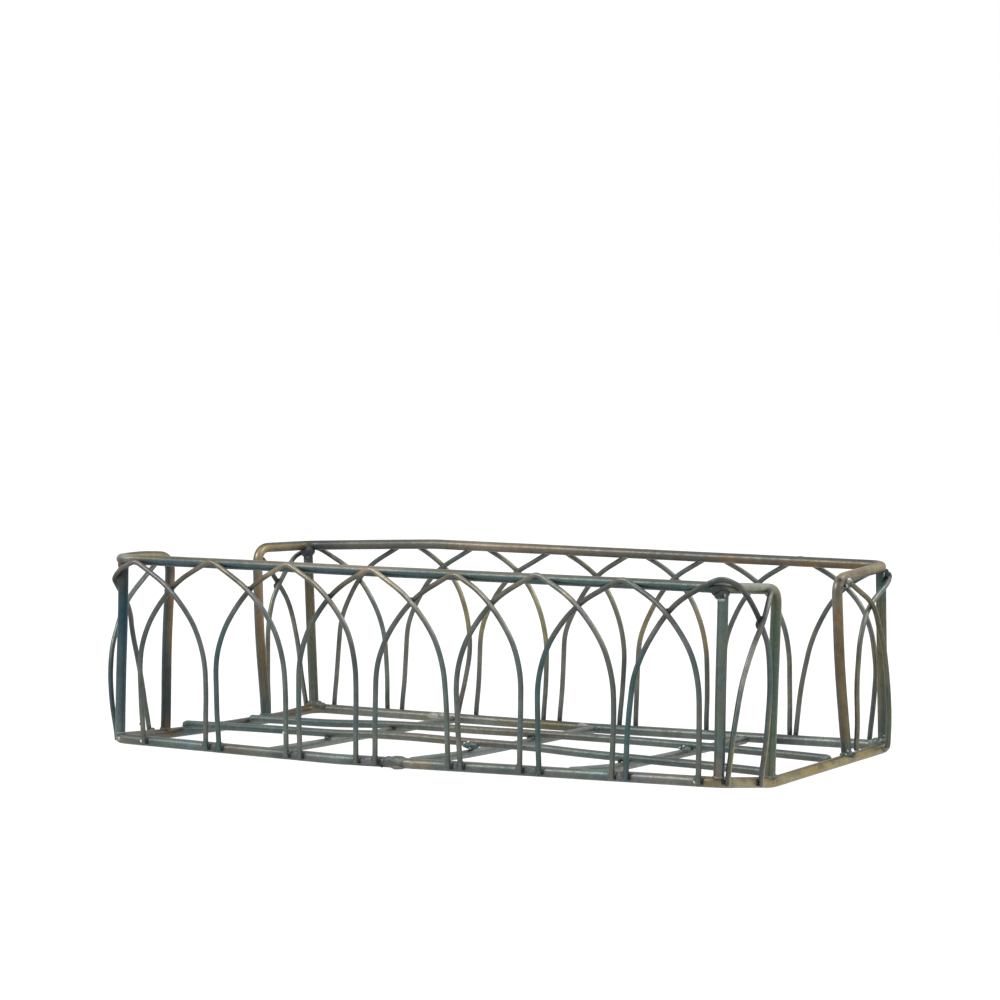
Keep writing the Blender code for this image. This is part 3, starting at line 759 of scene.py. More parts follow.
KINKED = ("front_arch_1", "back_arch_8")
arch_tubes = {}
ARCH_FEET = []          # (arch name, s of foot, side)
for side, word, table, bends in ((-1, "front", FRONT_ARCHES, FRONT_BOWS), (1, "back", BACK_ARCHES, BACK_BOWS)):
    for i, (peak_x, rise, left, right) in enumerate(table, 1):
        peak = peak_x + END_X
        peak_z = rim_height(peak_x, side) + rise
        l, r = place(left), place(right)
        out_right = -1.0 if i == 8 else 1.0
        near_top = -0.9 if word == "front" and i == 8 else 0.0
        lp = [(bow(s, z, *bends[i - 1][0]), z) for s, z in leg(l[0], peak, l[1], side, peak_z)]
        rp = [(bow(s, z, *bends[i - 1][1], near_top), z) for s, z in leg(r[0], peak, r[1], side, peak_z)]
        top = rounded([(*lp[-4], 0), (peak, peak_z, 0), (*rp[-4], 0)], [0, PEAK_R, 0], 10)[1:-1]
        al, ar = crossing(l[0], side), crossing(r[0], side)
        path = [(s, z, weave(z, -1.0, al)) for s, z in lp[:-4]]
        path += [(q.x, q.y, 0.0) for q in top]
        path += [(s, z, weave(z, out_right, ar)) for s, z in reversed(rp[:-4])]
        name = "%s_arch_%d" % (word, i)
        if name == "back_arch_8":       # its foot ends on top of the ring
            path = [q for q in path if not (q[0] > SPAN + 10 and q[1] < foot_height(r[0], side) + 2.1)]
        if name in KINKED:
            line = [corner_kink(s, z, side, stand_off(z, peak_z) + w) for s, z, w in path]
        else:
            line = [on_wall(s, z, side, stand_off(z, peak_z) + w + corner_room(s)) for s, z, w in path]
        p = soften(resample(line, 0.7), 2)
        p = hand_bent(p, 0.10, 16.0, i + 20 * side, hold=9.0)
        arch_tubes[name] = Tube(p, R_ARCH * (1 + 0.02 * noise_at(p, 4.0, i)), 12)
        ARCH_FEET += [(name, l[0], side), (name, r[0], side)]

for name, (foot, top, side, top_z, lean, arc_r, flank, bulge, out) in HALF_ARCHES.items():
    pts = leg(foot, top, lean, side, top_z, arc_r, flank) + [(top, top_z)]
    if name == "end_arch_back_right":       # its foot is turned in under the ring's corner
        z_foot = pts[0][1]
        cuts = [(pts[0][0] + (pts[1][0] - pts[0][0]) * k / 6, z_foot + (pts[1][1] - z_foot) * k / 6) for k in range(6)]
        pts = [(s + 1.7 * max(0.0, 1 - (z - z_foot) / 4.2) ** 2, z) for s, z in cuts + pts[1:] if z > z_foot + 1.5]
    line = [on_wall(s, z, side, stand_off(z, top_z + 3.0) + weave(z, out, crossing(foot, side)) + corner_room(s)
                    + bulge * max(0.0, sin(pi * min(1.0, z / 42.0))))
            for s, z in pts]
    p = hand_bent(soften(resample(line, 0.7), 2), 0.10, 16.0, len(name) + foot / 31, hold=9.0)
    arch_tubes[name] = Tube(p, R_ARCH * (1 + 0.02 * noise_at(p, 4.0, 51)), 12)
    ARCH_FEET.append((name, foot, side))


def nearest(a, b):
    """Closest points of two centre-lines."""
    d = np.linalg.norm(a[:, None, :] - b[None, :, :], axis=2)
    i, j = np.unravel_index(np.argmin(d), d.shape)
    return a[i], b[j], d[i, j]


# ------------------------------------------------------------- welds and soot
UP = np.array([0.0, 0.0, 1.0])
for k, (name, s, side) in enumerate(ARCH_FEET):
    (x, y), n = plan(s, side, RING_Y)
    ring_c = np.array([x, y, BASE_Z + ring_lift(x, y)])
    nrm = np.array([n[0], n[1], 0.0])
    along = np.array([-n[1], n[0], 0.0])
    if along @ RIGHT < 0:
        along = -along
    axes = np.array([along, nrm, UP])
    wob = noise.noise(Vector((s * 0.31, side * 4.0, 1.7)))
    group = "welds_%s_feet" % ("front" if side < 0 else "back")
    tone = ("ash", "pewter", "lead", "stone")[k % 4]
    # the foot spreads where it is welded to the ring
    rise = 0.75 + 0.4 * wob if side < 0 else -0.1
    shift, size = -(0.4 + 0.3 * wob), (1.55 + 0.25 * wob, 0.85, 1.45)
    if name == "back_arch_8" and s > SPAN:
        rise, size, tone = 1.3, (1.1, 0.7, 0.7), "lead"
        TINT.append((ring_c + nrm * R_FRAME + UP * 0.2, 2.4, "plum", 0.6))
    if name == "front_arch_8" and s > SPAN - 8.0:
        shift, size, tone = 1.5, (1.5, 0.6, 1.1), "plum"
    if name == "end_arch_front_right":
        shift, size, tone = 0.3, (1.0, 0.6, 0.8), "fawn"
    if name == "end_arch_back_right":
        shift, size = -1.0, (0.9, 0.7, 1.0)
    weld(group, ring_c + nrm * (R_FRAME - 0.15) + along * shift + UP * rise, size, tone, axes, seed=k + 50, lump=0.2, level=3, soot=0.2)
    if name == "back_arch_8" and s > SPAN:
        SOOT.append((ring_c + nrm * (R_FRAME + R_ARCH) + UP * 2.2, 1.4, 0.7))
        continue
    if name == "end_arch_back_right":
        continue
    # thin dark line beside the leg: a dark bead on the ring and a dark spot
    way = -1.0 if name in ("end_arch_front_right", "front_arch_8") and s > SPAN - 14.0 else 1.0
    weld(group, ring_c + nrm * (R_FRAME + 0.02) + along * way * (R_ARCH + 0.1 + 0.1 * wob) + UP * (0.15 + 0.15 * wob),
         (0.19, 0.4, 1.1 + 0.15 * wob), "soot", axes, seed=k, soot=0.95)
    SOOT.append((ring_c + nrm * R_FRAME + along * way * (R_ARCH + 0.3) + UP * 0.2, 0.75, 0.8))
    SOOT.append((ring_c + nrm * (R_FRAME + R_ARCH) + UP * (R_FRAME + 0.6), 1.5, 0.25 if side < 0 else 0.75))

# weld laid between feet that stand close together on the front bar
front_feet = sorted(s for name, s, side in ARCH_FEET if side < 0 and 6.0 < s < SPAN - 6.0)
for k, (s0, s1) in enumerate(zip(front_feet[:-1], front_feet[1:])):
    if s1 - s0 < 9.0:
        x = (s0 + s1) / 2 - END_X
        weld("welds_front_feet", (x, -RING_Y - R_FRAME + 0.35, BASE_Z + ring_lift(x, -RING_Y) + 0.1), ((s1 - s0) / 2 - 0.6, 0.75, 1.35),
             ("pewter", "lead", "plum")[k % 3], seed=k + 140, lump=0.3, level=3, soot=0.25)

names = ["front_arch_%d" % i for i in range(1, 9)], ["back_arch_%d" % i for i in range(1, 9)]
pairs = [(row[i], row[i + 1]) for row in names for i in range(7)]
pairs += [("end_arch_front_left", "front_arch_1"), ("end_arch_front_right", "front_arch_8"),
          ("end_arch_back_left", "back_arch_1"), ("end_arch_back_right", "back_arch_8")]
for k, (a, b) in enumerate(pairs):
    pa, pb, d = nearest(arch_tubes[a].line, arch_tubes[b].line)
    mid = (pa + pb) / 2
    weld("welds_crossings", mid + UP * 0.75, (0.5, 0.4, 0.45), "soot", seed=k + 200, soot=0.7)
    SOOT.append((mid + UP * 1.0, 1.4, 0.6))
    if a in ("end_arch_front_right", "end_arch_back_left"):
        weld("welds_crossings", mid - RIGHT * 1.15 - UP * 1.5, (0.7, 0.7, 1.2), "char", seed=k + 230, lump=0.35, level=3, soot=0.7)
        weld("welds_crossings", mid - RIGHT * 0.5 - UP * 0.4, (0.65, 0.5, 0.8), "soot", seed=k + 240, lump=0.3, soot=0.8)
        SOOT.append((mid, 2.2, 0.7))

POST_ENDS = {   # sizes and tones of the foot weld and the top weld
    "front_left": ((1.95, 1.95, 1.2), "fog", "haze", (2.0, 2.0, 2.6), "umber", None),
    "front_right": ((1.9, 1.9, 0.9), "fawn", "stone", (2.0, 2.0, 1.5), "char", None),
    "back_left": ((2.05, 2.05, 2.6), "moss", "ash", (2.7, 2.4, 2.4), "char", None),
    "back_right": ((2.3, 2.3, 2.3), "fog", "haze", (1.9, 1.9, 1.4), "char", None),
}
for key, tube in post_tubes.items():
    lo, hi = tube.line[0], tube.line[-1]
    size_lo, tone_lo, cap_lo, size_hi, tone_hi, cap_hi = POST_ENDS[key]
    k = len(key)
    weld("welds_frame", lo + UP * 0.1, size_lo, tone_lo, seed=k + 300, lump=0.12, level=3, cap=cap_lo)
    weld("welds_frame", hi - UP * 0.3, size_hi, tone_hi, seed=k + 310, lump=0.2, level=3, cap=cap_hi, soot=0.5)
    SOOT.append((hi, 3.2, 0.55))
# fillet beside the back left post, pale weld beside the back right post
for dx, r, h in ((1.9, 1.7, 1.7), (3.3, 1.7, 1.15), (-1.8, 1.5, 1.4)):
    weld("welds_frame", post_tubes["back_left"].line[0] + np.array([dx, 0.2, -0.1]), (r, 1.5, h), "taupe", seed=int(340 + 10 * dx), lump=0.04, level=4, cap="ash", soot=0.1)
for dx, dz, r, tone in ((-2.2, -0.1, 1.7, "fog"), (-3.4, -0.4, 1.4, "haze")):
    weld("welds_frame", post_tubes["back_right"].line[0] + np.array([dx, -0.5, dz]), (r, 1.4, 0.9 * r), tone, seed=int(350 + 10 * dx), lump=0.06, level=4,
         cap="mist", soot=0.0)
for dx, dy, dz in ((-0.9, -2.0, 1.2), (1.2, -1.7, 2.2), (-2.6, -1.5, 0.9)):
    weld("welds_frame", post_tubes["back_right"].line[0] + np.array([dx, dy, dz]), (0.36, 0.36, 0.55), "haze", seed=int(357 + 10 * dx), lump=0.3, cap="pale", soot=0.0)
# burnt web between the back right post and the bend of the last arch
top_br = post_tubes["back_right"].line[-1]
for k, (dx, dz, h) in enumerate(((1.55, -1.3, 1.7), (2.3, -2.2, 1.5))):
    weld("welds_frame", top_br + np.array([dx, 0.55 * dx, dz]), (0.95, 0.95, h), "char", seed=380 + k, lump=0.1, level=3, soot=0.6)
# a small lump with a white top on the web: a painted highlight
weld("welds_frame", top_br + np.array([1.5, -0.9, -1.5]), (0.4, 0.4, 0.8), "mist", seed=384, cap="white", soot=0.0)
# slate lumps with pale tops on the back left post's top weld: painted highlights on the dark weld
for dx, dz in ((-0.9, -1.8), (0.8, -2.9), (0.2, -4.4)):
    weld("welds_frame", post_tubes["back_left"].line[-1] + np.array([dx, -1.5, dz]), (0.7, 0.4, 0.8), "slate", seed=int(360 + 10 * dz), lump=0.4, cap="mist")

# burnt web between the bend of the first arch and the front left post
top_fl = post_tubes["front_left"].line[-1]
for k, (out, dz, h) in enumerate(((1.5, -4.6, 2.2), (1.0, -6.4, 2.4), (2.2, -3.9, 1.2))):
    weld("welds_frame", top_fl + np.array([-0.846 * out, -0.532 * out, dz]), (0.95, 0.95, h), "char", seed=330 + k, lump=0.08, level=3, soot=0.6)
SOOT.append(((-114.8, -55.2, 56.0 + SAG), 4.4, 0.75))
# the front right post: a dark lump for the pit in its top weld, its darkness painted shade; two small lumps painted
# white below and beside it as painted highlights; and a dark web to the rim
top_fr = post_tubes["front_right"].line[-1]
weld("welds_frame", top_fr + np.array([0.35, -1.55, -1.1]), (0.8, 0.5, 0.7), "soot", seed=334, soot=0.95)
weld("welds_frame", top_fr + np.array([0.0, -1.4, -2.5]), (1.2, 0.45, 0.75), "mist", seed=335, lump=0.4, level=3, cap="white", soot=0.0)
weld("welds_frame", top_fr + np.array([1.3, -1.25, -0.9]), (0.4, 0.4, 0.6), "mist", seed=336, lump=0.3, cap="white", soot=0.0)
for dx, dz, r in ((-1.4, -1.0, 1.35), (-2.5, -0.2, 1.15), (-3.6, 0.4, 0.95), (-4.8, 0.8, 0.7)):
    weld("welds_frame", top_fr + np.array([dx, -0.5, dz]), (r, 1.1, r), "char", seed=int(345 + 10 * dx), lump=0.08, level=3, soot=0.5)

RETURN_FEET = {"front_left": ("umber", "taupe"), "front_right": ("moss", "sage"), "back_left": ("lead", "fog"), "back_right": ("pine", "haze")}
for word in ("front", "back"):
    line = rim_tubes[word].line
    for hand, end in (("left", line[0]), ("right", line[-1])):
        tone, cap = RETURN_FEET[word + "_" + hand]
        weld("welds_frame", end + UP * 0.1, (1.95, 1.95, 1.0), tone, seed=len(word) + 320 + int(end[0]), lump=0.26, level=3, cap=cap)
        if (word, hand) != ("front", "left"):
            TINT.append((end, 4.5, "pine", 0.4))
for dy, dz, r, tone in ((1.5, 0.1, 1.5, "sage"), (2.7, -0.3, 1.3, "ochre"), (-1.6, -0.2, 1.3, "moss")):
    weld("welds_frame", rim_tubes["front"].line[-1] + np.array([0.1, dy, dz]), (1.45, r, 0.85 * r), tone, seed=int(355 + 9 * dy), lump=0.05, level=4, cap="sage", soot=0.0)
for dx, dy, dz, r in ((1.35, 0.9, -0.9, 0.55), (1.3, 2.2, -0.6, 0.5), (1.5, -0.4, -1.2, 0.4)):
    weld("welds_frame", rim_tubes["front"].line[-1] + np.array([dx, dy, dz]), (0.4, r, 0.6 * r), "straw", seed=int(351 + 9 * dz), lump=0.4, cap="celadon", soot=0.0)
for dy, dz, r, tone in ((1.6, 0.0, 1.4, "pine"), (2.7, -0.4, 1.1, "fog")):
    weld("welds_frame", rim_tubes["back"].line[-1] + np.array([0.1, dy, dz]), (1.4, r, 0.9 * r), tone, seed=int(377 + 9 * dy), lump=0.06, level=4, cap="haze", soot=0.0)
for dx, dy, dz, r in ((1.1, -1.2, 1.3, 0.5), (1.4, 0.2, 0.5, 0.55), (0.6, -1.5, 0.2, 0.4), (1.3, 1.8, 0.4, 0.5)):
    weld("welds_frame", rim_tubes["back"].line[-1] + np.array([dx, dy, dz]), (0.4, r, 0.8 * r), "mist", seed=int(371 + 9 * dz), lump=0.4, cap="white", soot=0.0)

for word, tube in rod_tubes.items():
    for e in (tube.line[0], tube.line[-1]):
        weld("welds_floor", e, (1.5, 1.5, 1.2), "fog", seed=int(e[0] * 3 + e[1]) + 900, lump=0.22, level=3, cap="haze")
        TINT.append((e, 6.0, "fog", 0.4))
for cx in CROSS_RODS:
    for ly in LONG_Y:
        pa, pb, d = nearest(rod_tubes["cross_rod_" + cx].line, rod_tubes["long_rod_" + ly].line)
        mid = (pa + pb) / 2
        weld("welds_floor", mid + np.array([0.2, 0.2, 0.0]), (1.2, 1.2, 0.9), "pewter", seed=int(mid[0] + mid[1]) + 700, lump=0.3, level=3, cap="ash")
        SOOT.append((mid, 1.5, 0.4))
# lumps of bluish weld at two of the floor crossings
for cx, ly, shift, size, tone in (("middle", "front", (0.9, -1.1, 0.9), (3.3, 1.3, 1.35), "pine"), ("right", "back", (0.6, -1.3, -0.2), (2.2, 1.3, 1.3), "verdigris"),
                                  ):
    pa, pb, d = nearest(rod_tubes["cross_rod_" + cx].line, rod_tubes["long_rod_" + ly].line)
    weld("welds_floor", (pa + pb) / 2 + np.array(shift), size, tone, seed=int(731 + pa[0]), lump=0.16, level=3, cap="seaglass", soot=0.0)
    # small dots on the lump: the pale ones are painted highlights, the tan one an orange spot
    for dx, dz, dot in ((-1.9, 0.6, "mist"), (-0.4, 1.1, "mist"), (0.3, -0.8, "tan")):
        weld("welds_floor", (pa + pb) / 2 + np.array(shift) + np.array([dx, -1.0, dz]), (0.5, 0.5, 0.5), dot, seed=int(735 + pa[0] + 10 * dx), cap="white", soot=0.0)
for cx, ly in (("middle", "back"), ("right", "front")):
    pa, pb, d = nearest(rod_tubes["cross_rod_" + cx].line, rod_tubes["long_rod_" + ly].line)
    weld("welds_floor", (pa + pb) / 2 + np.array([-1.5, -1.2, 0.1]), (0.65, 0.6, 0.55), "soot", seed=int(720 + pa[0]), soot=0.9)
# pale welds at the back ends of the cross rods
for x, r, tone in ((-61.8, 2.9, "pale"), (-58.0, 2.5, "stone"), (-54.4, 2.9, "pale"), (-0.5, 2.3, "ash"), (57.5, 2.3, "ochre")):
    weld("welds_floor", (x, RING_Y - R_FRAME - 0.4, BASE_Z + 0.7), (r, 1.1, 1.05), tone, seed=int(740 + x), lump=0.3, level=3, cap="pale", soot=0.1)

# closing weld of the ring
seam_z = BASE_Z + ring_lift(SEAM_X, -RING_Y)
weld("welds_frame", (SEAM_X + 0.9, -RING_Y, seam_z + 0.15), (4.7, 2.15, 2.1), "lead", seed=411, lump=0.14, level=4, cap="ash", soot=0.1)
weld("welds_frame", (SEAM_X - 1.9, -RING_Y - 0.5, seam_z + 0.5), (1.9, 1.7, 1.5), "pewter", seed=418, lump=0.2, level=3, cap="fog", soot=0.1)
SOOT.append(((SEAM_X - 4.6, -RING_Y - 1.2, BASE_Z - 0.4), 1.9, 0.8))
for dx, dz in ((-4.4, 0.6), (-4.9, -0.3), (-4.2, -0.9)):
    weld("welds_frame", (SEAM_X + dx, -RING_Y - 1.25, BASE_Z + dz), (0.45, 0.6, 0.5), "soot", seed=int(412 + 10 * dz), soot=0.8)
weld("welds_frame", (SEAM_X + 1.4, -RING_Y - 0.9, BASE_Z - 0.75), (2.6, 1.3, 0.95), "fawn", seed=416, lump=0.2, level=3, cap="taupe", soot=0.0)
weld("welds_frame", (SEAM_X + 7.0, -RING_Y - 0.2, BASE_Z + 0.35), (2.6, 1.6, 1.55), "fawn", seed=417, lump=0.14, level=3, cap="tan", soot=0.0)
TINT.append(((SEAM_X, -RING_Y - 1.5, BASE_Z - 1.2), 2.6, "fawn", 0.8))
TINT.append(((SEAM_X + 8.0, -RING_Y, BASE_Z), 5.0, "fawn", 0.7))
TINT.append(((-114.4, 52.6, BASE_Z + 0.6), 2.8, "rust", 0.8))
TINT.append(((-114.6, 52.0, BASE_Z + 0.9), 1.3, "amber", 0.6))

# spatter, each drop on the nearest wire
wire_skin = np.concatenate([tube.verts for tube in list(arch_tubes.values()) + [ring_tube]])
for where, size, tone in (((-101.7, -60.9, 8.2), 0.36, "pale"), ((-101.4, -60.9, 3.0), 0.42, "white"), ((-43.4, -60.95, 9.0), 0.42, "white"),
                          ((107.0, -59.35, 4.1), 0.5, "white"), ((107.7, -59.4, 4.9), 0.42, "pale"), ((107.9, -59.45, 3.4), 0.42, "white"),
                          ((106.4, -59.2, 4.8), 0.35, "pale"), ((-112.0, -58.6, 2.6), 0.6, "pale"), ((-113.4, -57.2, 3.4), 0.5, "white")):
    at = np.array(where) + UP * SAG
    at = wire_skin[np.argmin(np.linalg.norm(wire_skin - at, axis=1))]
    weld("welds_front_feet", at, (size, 0.4, 1.3 * size), tone, seed=int(460 + where[0] + 5 * where[2]), lump=0.4, soot=0.0)

# tops of the half arches, on the bends of the returns
for name in HALF_ARCHES:
    tip = arch_tubes[name].line[-1]
    rim = rim_tubes["front" if "front" in name else "back"].line
    q = rim[np.argmin(np.linalg.norm(rim - tip, axis=1))]
    pale = name.endswith("back_right")
    if name.endswith("back_left"):
        weld("welds_frame", tip, (0.95, 0.95, 0.9), "olive", seed=len(name) + 450, level=3, soot=0.1)
        continue
    weld("welds_frame", tip * 0.55 + q * 0.45, (1.5, 1.1, 1.0), "pale" if pale else "lead", seed=len(name) + 450, level=3,
         cap="white" if pale else None)
    SOOT.append((tip, 2.4, 0.3 if pale else 0.75))
for where, size, tone, cap in (((116.0, 23.4, 59.4), (1.0, 1.6, 1.0), "taupe", "stone"), ((117.1, 23.6, 58.2), (0.8, 1.1, 1.0), "stone", "pale"), ((117.2, 21.7, 57.9), (0.45, 0.45, 0.55), "pale", "white"),
                               ((115.75, 19.2, 57.4), (1.5, 1.5, 2.0), "plum", "stone")):
    weld("welds_frame", np.array(where) + UP * SAG, size, tone, seed=int(471 + where[1]), lump=0.14, level=3, cap=cap, soot=0.0)
# a dark seam where the back right return meets the rim
for where, size in (((116.2, 20.6, 59.4), (0.5, 0.7, 1.1)), ((116.5, 21.8, 58.0), (0.7, 0.5, 0.5)), ((116.0, 19.2, 59.9), (0.6, 0.6, 0.5))):
    weld("welds_frame", np.array(where) + UP * SAG, size, "soot", seed=int(481 + 3 * where[1]), lump=0.2, soot=0.8)
    SOOT.append((np.array(where) + UP * SAG, 1.6, 0.75))
SOOT.append(((-104.0, 57.8, 57.6 + SAG), 4.0, 0.5))

# ---------------------------------------------------------------- the tones
front_rim_spec = {
    "along": "t", "ragged": 0.004,
    "face": [(0.0, "umber"), (0.012, "char"), (0.05, "char"), (0.08, "lead"), (0.10, "umber"), (0.125, "umber"), (0.142, "char"), (0.156, "olive"),
             (0.17, "ochre"), (0.19, "gold"), (0.208, "tan"), (0.222, "pale"), (0.234, "umber"), (0.25, "deep_teal"), (0.27, "slate"), (0.45, "dusk"),
             (0.55, "pine"), (0.68, "verdigris"), (0.73, "pine"), (0.765, "pine"), (0.778, "char"), (0.79, "moss"), (0.80, "sage"), (0.85, "olive"),
             (0.865, "moss"), (0.89, "fern"), (0.93, "fern"), (0.96, "sage"), (0.985, "fern"), (1.0, "sage")],
    "top": [(0.0, "lead"), (0.14, "umber"), (0.17, "bronze"), (0.20, "ochre"), (0.222, "pale"), (0.24, "ochre"), (0.27, "bronze"), (0.36, "fawn"), (0.45, "tan"), (0.55, "fawn"),
            (0.63, "fawn"), (0.70, "taupe"), (0.765, "taupe"), (0.785, "lead"), (0.80, "celadon"), (0.85, "celadon"), (0.87, "fern"), (0.90, "moss"), (1.0, "sage")],
    "top_share": 0.9, "top_from": 0.08, "under": 0.16,
    "right": [(0.0, "umber"), (0.02, "char"), (0.06, "lead"), (0.085, "rust"), (0.12, "tan"), (0.138, "bronze"), (0.15, "gold"), (0.18, "tan"), (0.215, "bronze"), (0.25, "slate"),
              (0.5, "pine"), (0.76, "pine"), (0.80, "celadon"), (0.85, "celadon"), (0.87, "ochre"), (0.895, "olive"), (0.92, "fern"), (0.97, "fern"), (1.0, "ochre")],
    "right_share": 0.75,
    "left": [(0.0, "char"), (0.05, "char"), (0.10, "dusk"), (0.14, "dusk"), (0.17, "ochre"), (0.21, "bronze"), (0.25, "slate"), (0.5, "pine"), (0.76, "pine"), (0.79, "char"),
             (0.84, "olive"), (0.88, "fern"), (0.95, "fern"), (1.0, "ochre")],
    "left_share": 0.75,
}
back_rim_spec = {
    "along": "t", "ragged": 0.004,
    "face": [(0.0, "pine"), (0.02, "lead"), (0.05, "umber"), (0.09, "rust"), (0.12, "bronze"), (0.145, "gold"), (0.175, "gold"), (0.20, "olive"), (0.218, "char"),
             (0.24, "lead"), (0.26, "stone"), (0.30, "lead"), (0.335, "lead"), (0.37, "fawn"), (0.40, "tan"), (0.44, "fawn"), (0.48, "fawn"), (0.52, "taupe"),
             (0.58, "taupe"), (0.615, "taupe"), (0.64, "rust"), (0.67, "bronze"), (0.70, "taupe"), (0.74, "rust"), (0.765, "bronze"), (0.785, "ochre"), (0.80, "tan"), (0.825, "gold"),
             (0.845, "tan"), (0.858, "bronze"), (0.872, "taupe"), (0.885, "rust"), (0.91, "umber"), (0.95, "bronze"), (0.985, "olive"), (1.0, "pine")],
    "top": [(0.0, "lead"), (0.14, "gold"), (0.16, "umber"), (0.19, "olive"), (0.225, "char"), (0.26, "lead"), (0.34, "taupe"), (0.38, "fawn"), (0.44, "fawn"),
            (0.49, "taupe"), (0.60, "lead"), (0.70, "lead"), (0.77, "char"), (0.79, "ochre"), (0.83, "tan"), (0.86, "gold"), (0.88, "bronze"), (1.0, "bronze")],
    "top_share": 0.85, "top_from": 0.35, "under": 0.45,
    "right": [(0.0, "pine"), (0.03, "moss"), (0.06, "rust"), (0.11, "tan"), (0.15, "gold"), (0.21, "olive"), (0.3, "lead"), (0.5, "fawn"), (0.6, "taupe"), (0.75, "bronze"), (0.8, "gold"),
              (0.86, "tan"), (0.88, "ochre"), (0.92, "olive"), (0.98, "ochre"), (1.0, "fog")],
    "right_share": 0.75,
    "left": [(0.0, "dusk"), (0.05, "lead"), (0.12, "pewter"), (0.145, "lead"), (0.16, "ochre"), (0.22, "lead"), (0.4, "fawn"), (0.6, "taupe"), (0.8, "bronze"), (0.87, "steel"), (0.89, "fawn"),
             (0.92, "umber"), (1.0, "lead")],
    "left_share": 0.75,
}


def band(n_z, lo, hi):
    """Strip along a level wire between two tilts of its surface."""
    return step(lo - 0.2, lo + 0.1, n_z) * step(hi + 0.2, hi - 0.1, n_z)


def end_seg(tb, hand, y0, y1):
    """Part of a rim that runs across the end of the tray, between two places."""
    x, y, z = tb.verts[:, 0] * hand, tb.verts[:, 1], tb.z
    return (x > END_X - 4.0) * step(y0 - 3, y0 + 3, y) * step(y1 + 3, y1 - 3, y) * step(54.0, 57.5, z)


# bands on the rim ends and returns, set by the tilt of the surface and by side: pale and straw bands part way up,
# darker top edges and undersides; partly patina, partly painted highlight and shade
front_rim_spec["extra"] = [
    ("umber", lambda tb: 0.85 * end_seg(tb, -1, -60, -52) * step(0.3, -0.2, tb.normals[:, 2])),
    ("umber", lambda tb: 0.9 * end_seg(tb, -1, -50, -26) * step(0.55, 0.8, tb.normals[:, 2])),
    ("straw", lambda tb: 0.85 * end_seg(tb, -1, -54, -30) * band(tb.normals[:, 2], 0.05, 0.4)),
    ("pale", lambda tb: 0.3 * end_seg(tb, -1, -60, -52) * band(tb.normals[:, 2], 0.2, 0.7)),
    ("pale", lambda tb: 0.75 * end_seg(tb, 1, -52, -28) * band(tb.normals[:, 2], 0.3, 0.75)),
    ("olive", lambda tb: 0.7 * end_seg(tb, 1, -54, -24) * step(0.1, -0.4, tb.normals[:, 2])),
    ("rust", lambda tb: 0.6 * (tb.verts[:, 0] < -110) * band(tb.z / 60.0, 0.55, 0.85) * step(0.1, 0.5, tb.normals @ RIGHT)),
    ("dusk", lambda tb: 0.6 * (tb.verts[:, 0] < -110) * band(tb.z / 60.0, 0.35, 0.9) * step(0.05, -0.35, tb.normals @ RIGHT)),
    ("fern", lambda tb: 0.45 * (tb.verts[:, 0] > 110) * band(tb.z / 60.0, 0.25, 0.82)),
    ("gold", lambda tb: 0.6 * (tb.verts[:, 0] > 110) * band(tb.z / 60.0, 0.2, 0.9) * step(0.7, 0.95, np.abs(tb.normals @ RIGHT))),
]
# bands on the rim ends, the returns and the right part of the back rim, set by the tilt of the surface and by side:
# darker top edges and undersides, straw bands part way up; partly patina, partly painted highlight and shade
back_rim_spec["extra"] = [
    ("char", lambda tb: 0.8 * end_seg(tb, -1, 26, 54) * step(0.6, 0.85, tb.normals[:, 2])),
    ("straw", lambda tb: 0.8 * end_seg(tb, -1, 24, 50) * band(tb.normals[:, 2], 0.0, 0.35)),
    ("umber", lambda tb: 0.85 * end_seg(tb, -1, 22, 50) * step(-0.15, -0.5, tb.normals[:, 2])),
    ("umber", lambda tb: 0.75 * end_seg(tb, 1, 20, 52) * step(0.15, -0.4, tb.normals[:, 2])),
    ("straw", lambda tb: 0.6 * end_seg(tb, 1, 40, 56) * band(tb.normals[:, 2], 0.15, 0.8)),
    ("rust", lambda tb: 0.6 * end_seg(tb, 1, 24, 42) * step(-0.1, 0.35, noise_at(tb.verts, 4.0, 77))),
    ("rust", lambda tb: 0.7 * (tb.verts[:, 0] > 55) * (tb.verts[:, 1] > 50) * step(0.25, -0.2, tb.normals[:, 2]) * step(-0.2, 0.3, noise_at(tb.verts, 7.0, 79))),
    ("lead", lambda tb: 0.55 * (tb.verts[:, 0] > 40) * (tb.verts[:, 1] > 50) * band(tb.normals[:, 2], 0.35, 0.8)),
    ("rust", lambda tb: 0.6 * (tb.verts[:, 0] < -110) * band(tb.z / 60.0, 0.12, 0.85) * band(tb.normals @ RIGHT, -0.2, 0.35)),
    ("pewter", lambda tb: 0.7 * (tb.verts[:, 0] < -110) * band(tb.z / 60.0, 0.08, 0.88) * step(-0.2, -0.6, tb.normals @ RIGHT)),
    ("plum", lambda tb: 0.55 * (tb.verts[:, 0] > 110) * band(tb.z / 60.0, 0.25, 0.9) * step(-0.45, -0.75, tb.normals @ RIGHT)),
    ("rust", lambda tb: 0.5 * (tb.verts[:, 0] > 110) * band(tb.z / 60.0, 0.3, 0.88) * band(tb.normals @ RIGHT, -0.35, 0.3)),
]
wire("front_rim", rim_tubes["front"], front_rim_spec, "rim_wire")
wire("back_rim", rim_tubes["back"], back_rim_spec, "rim_wire")

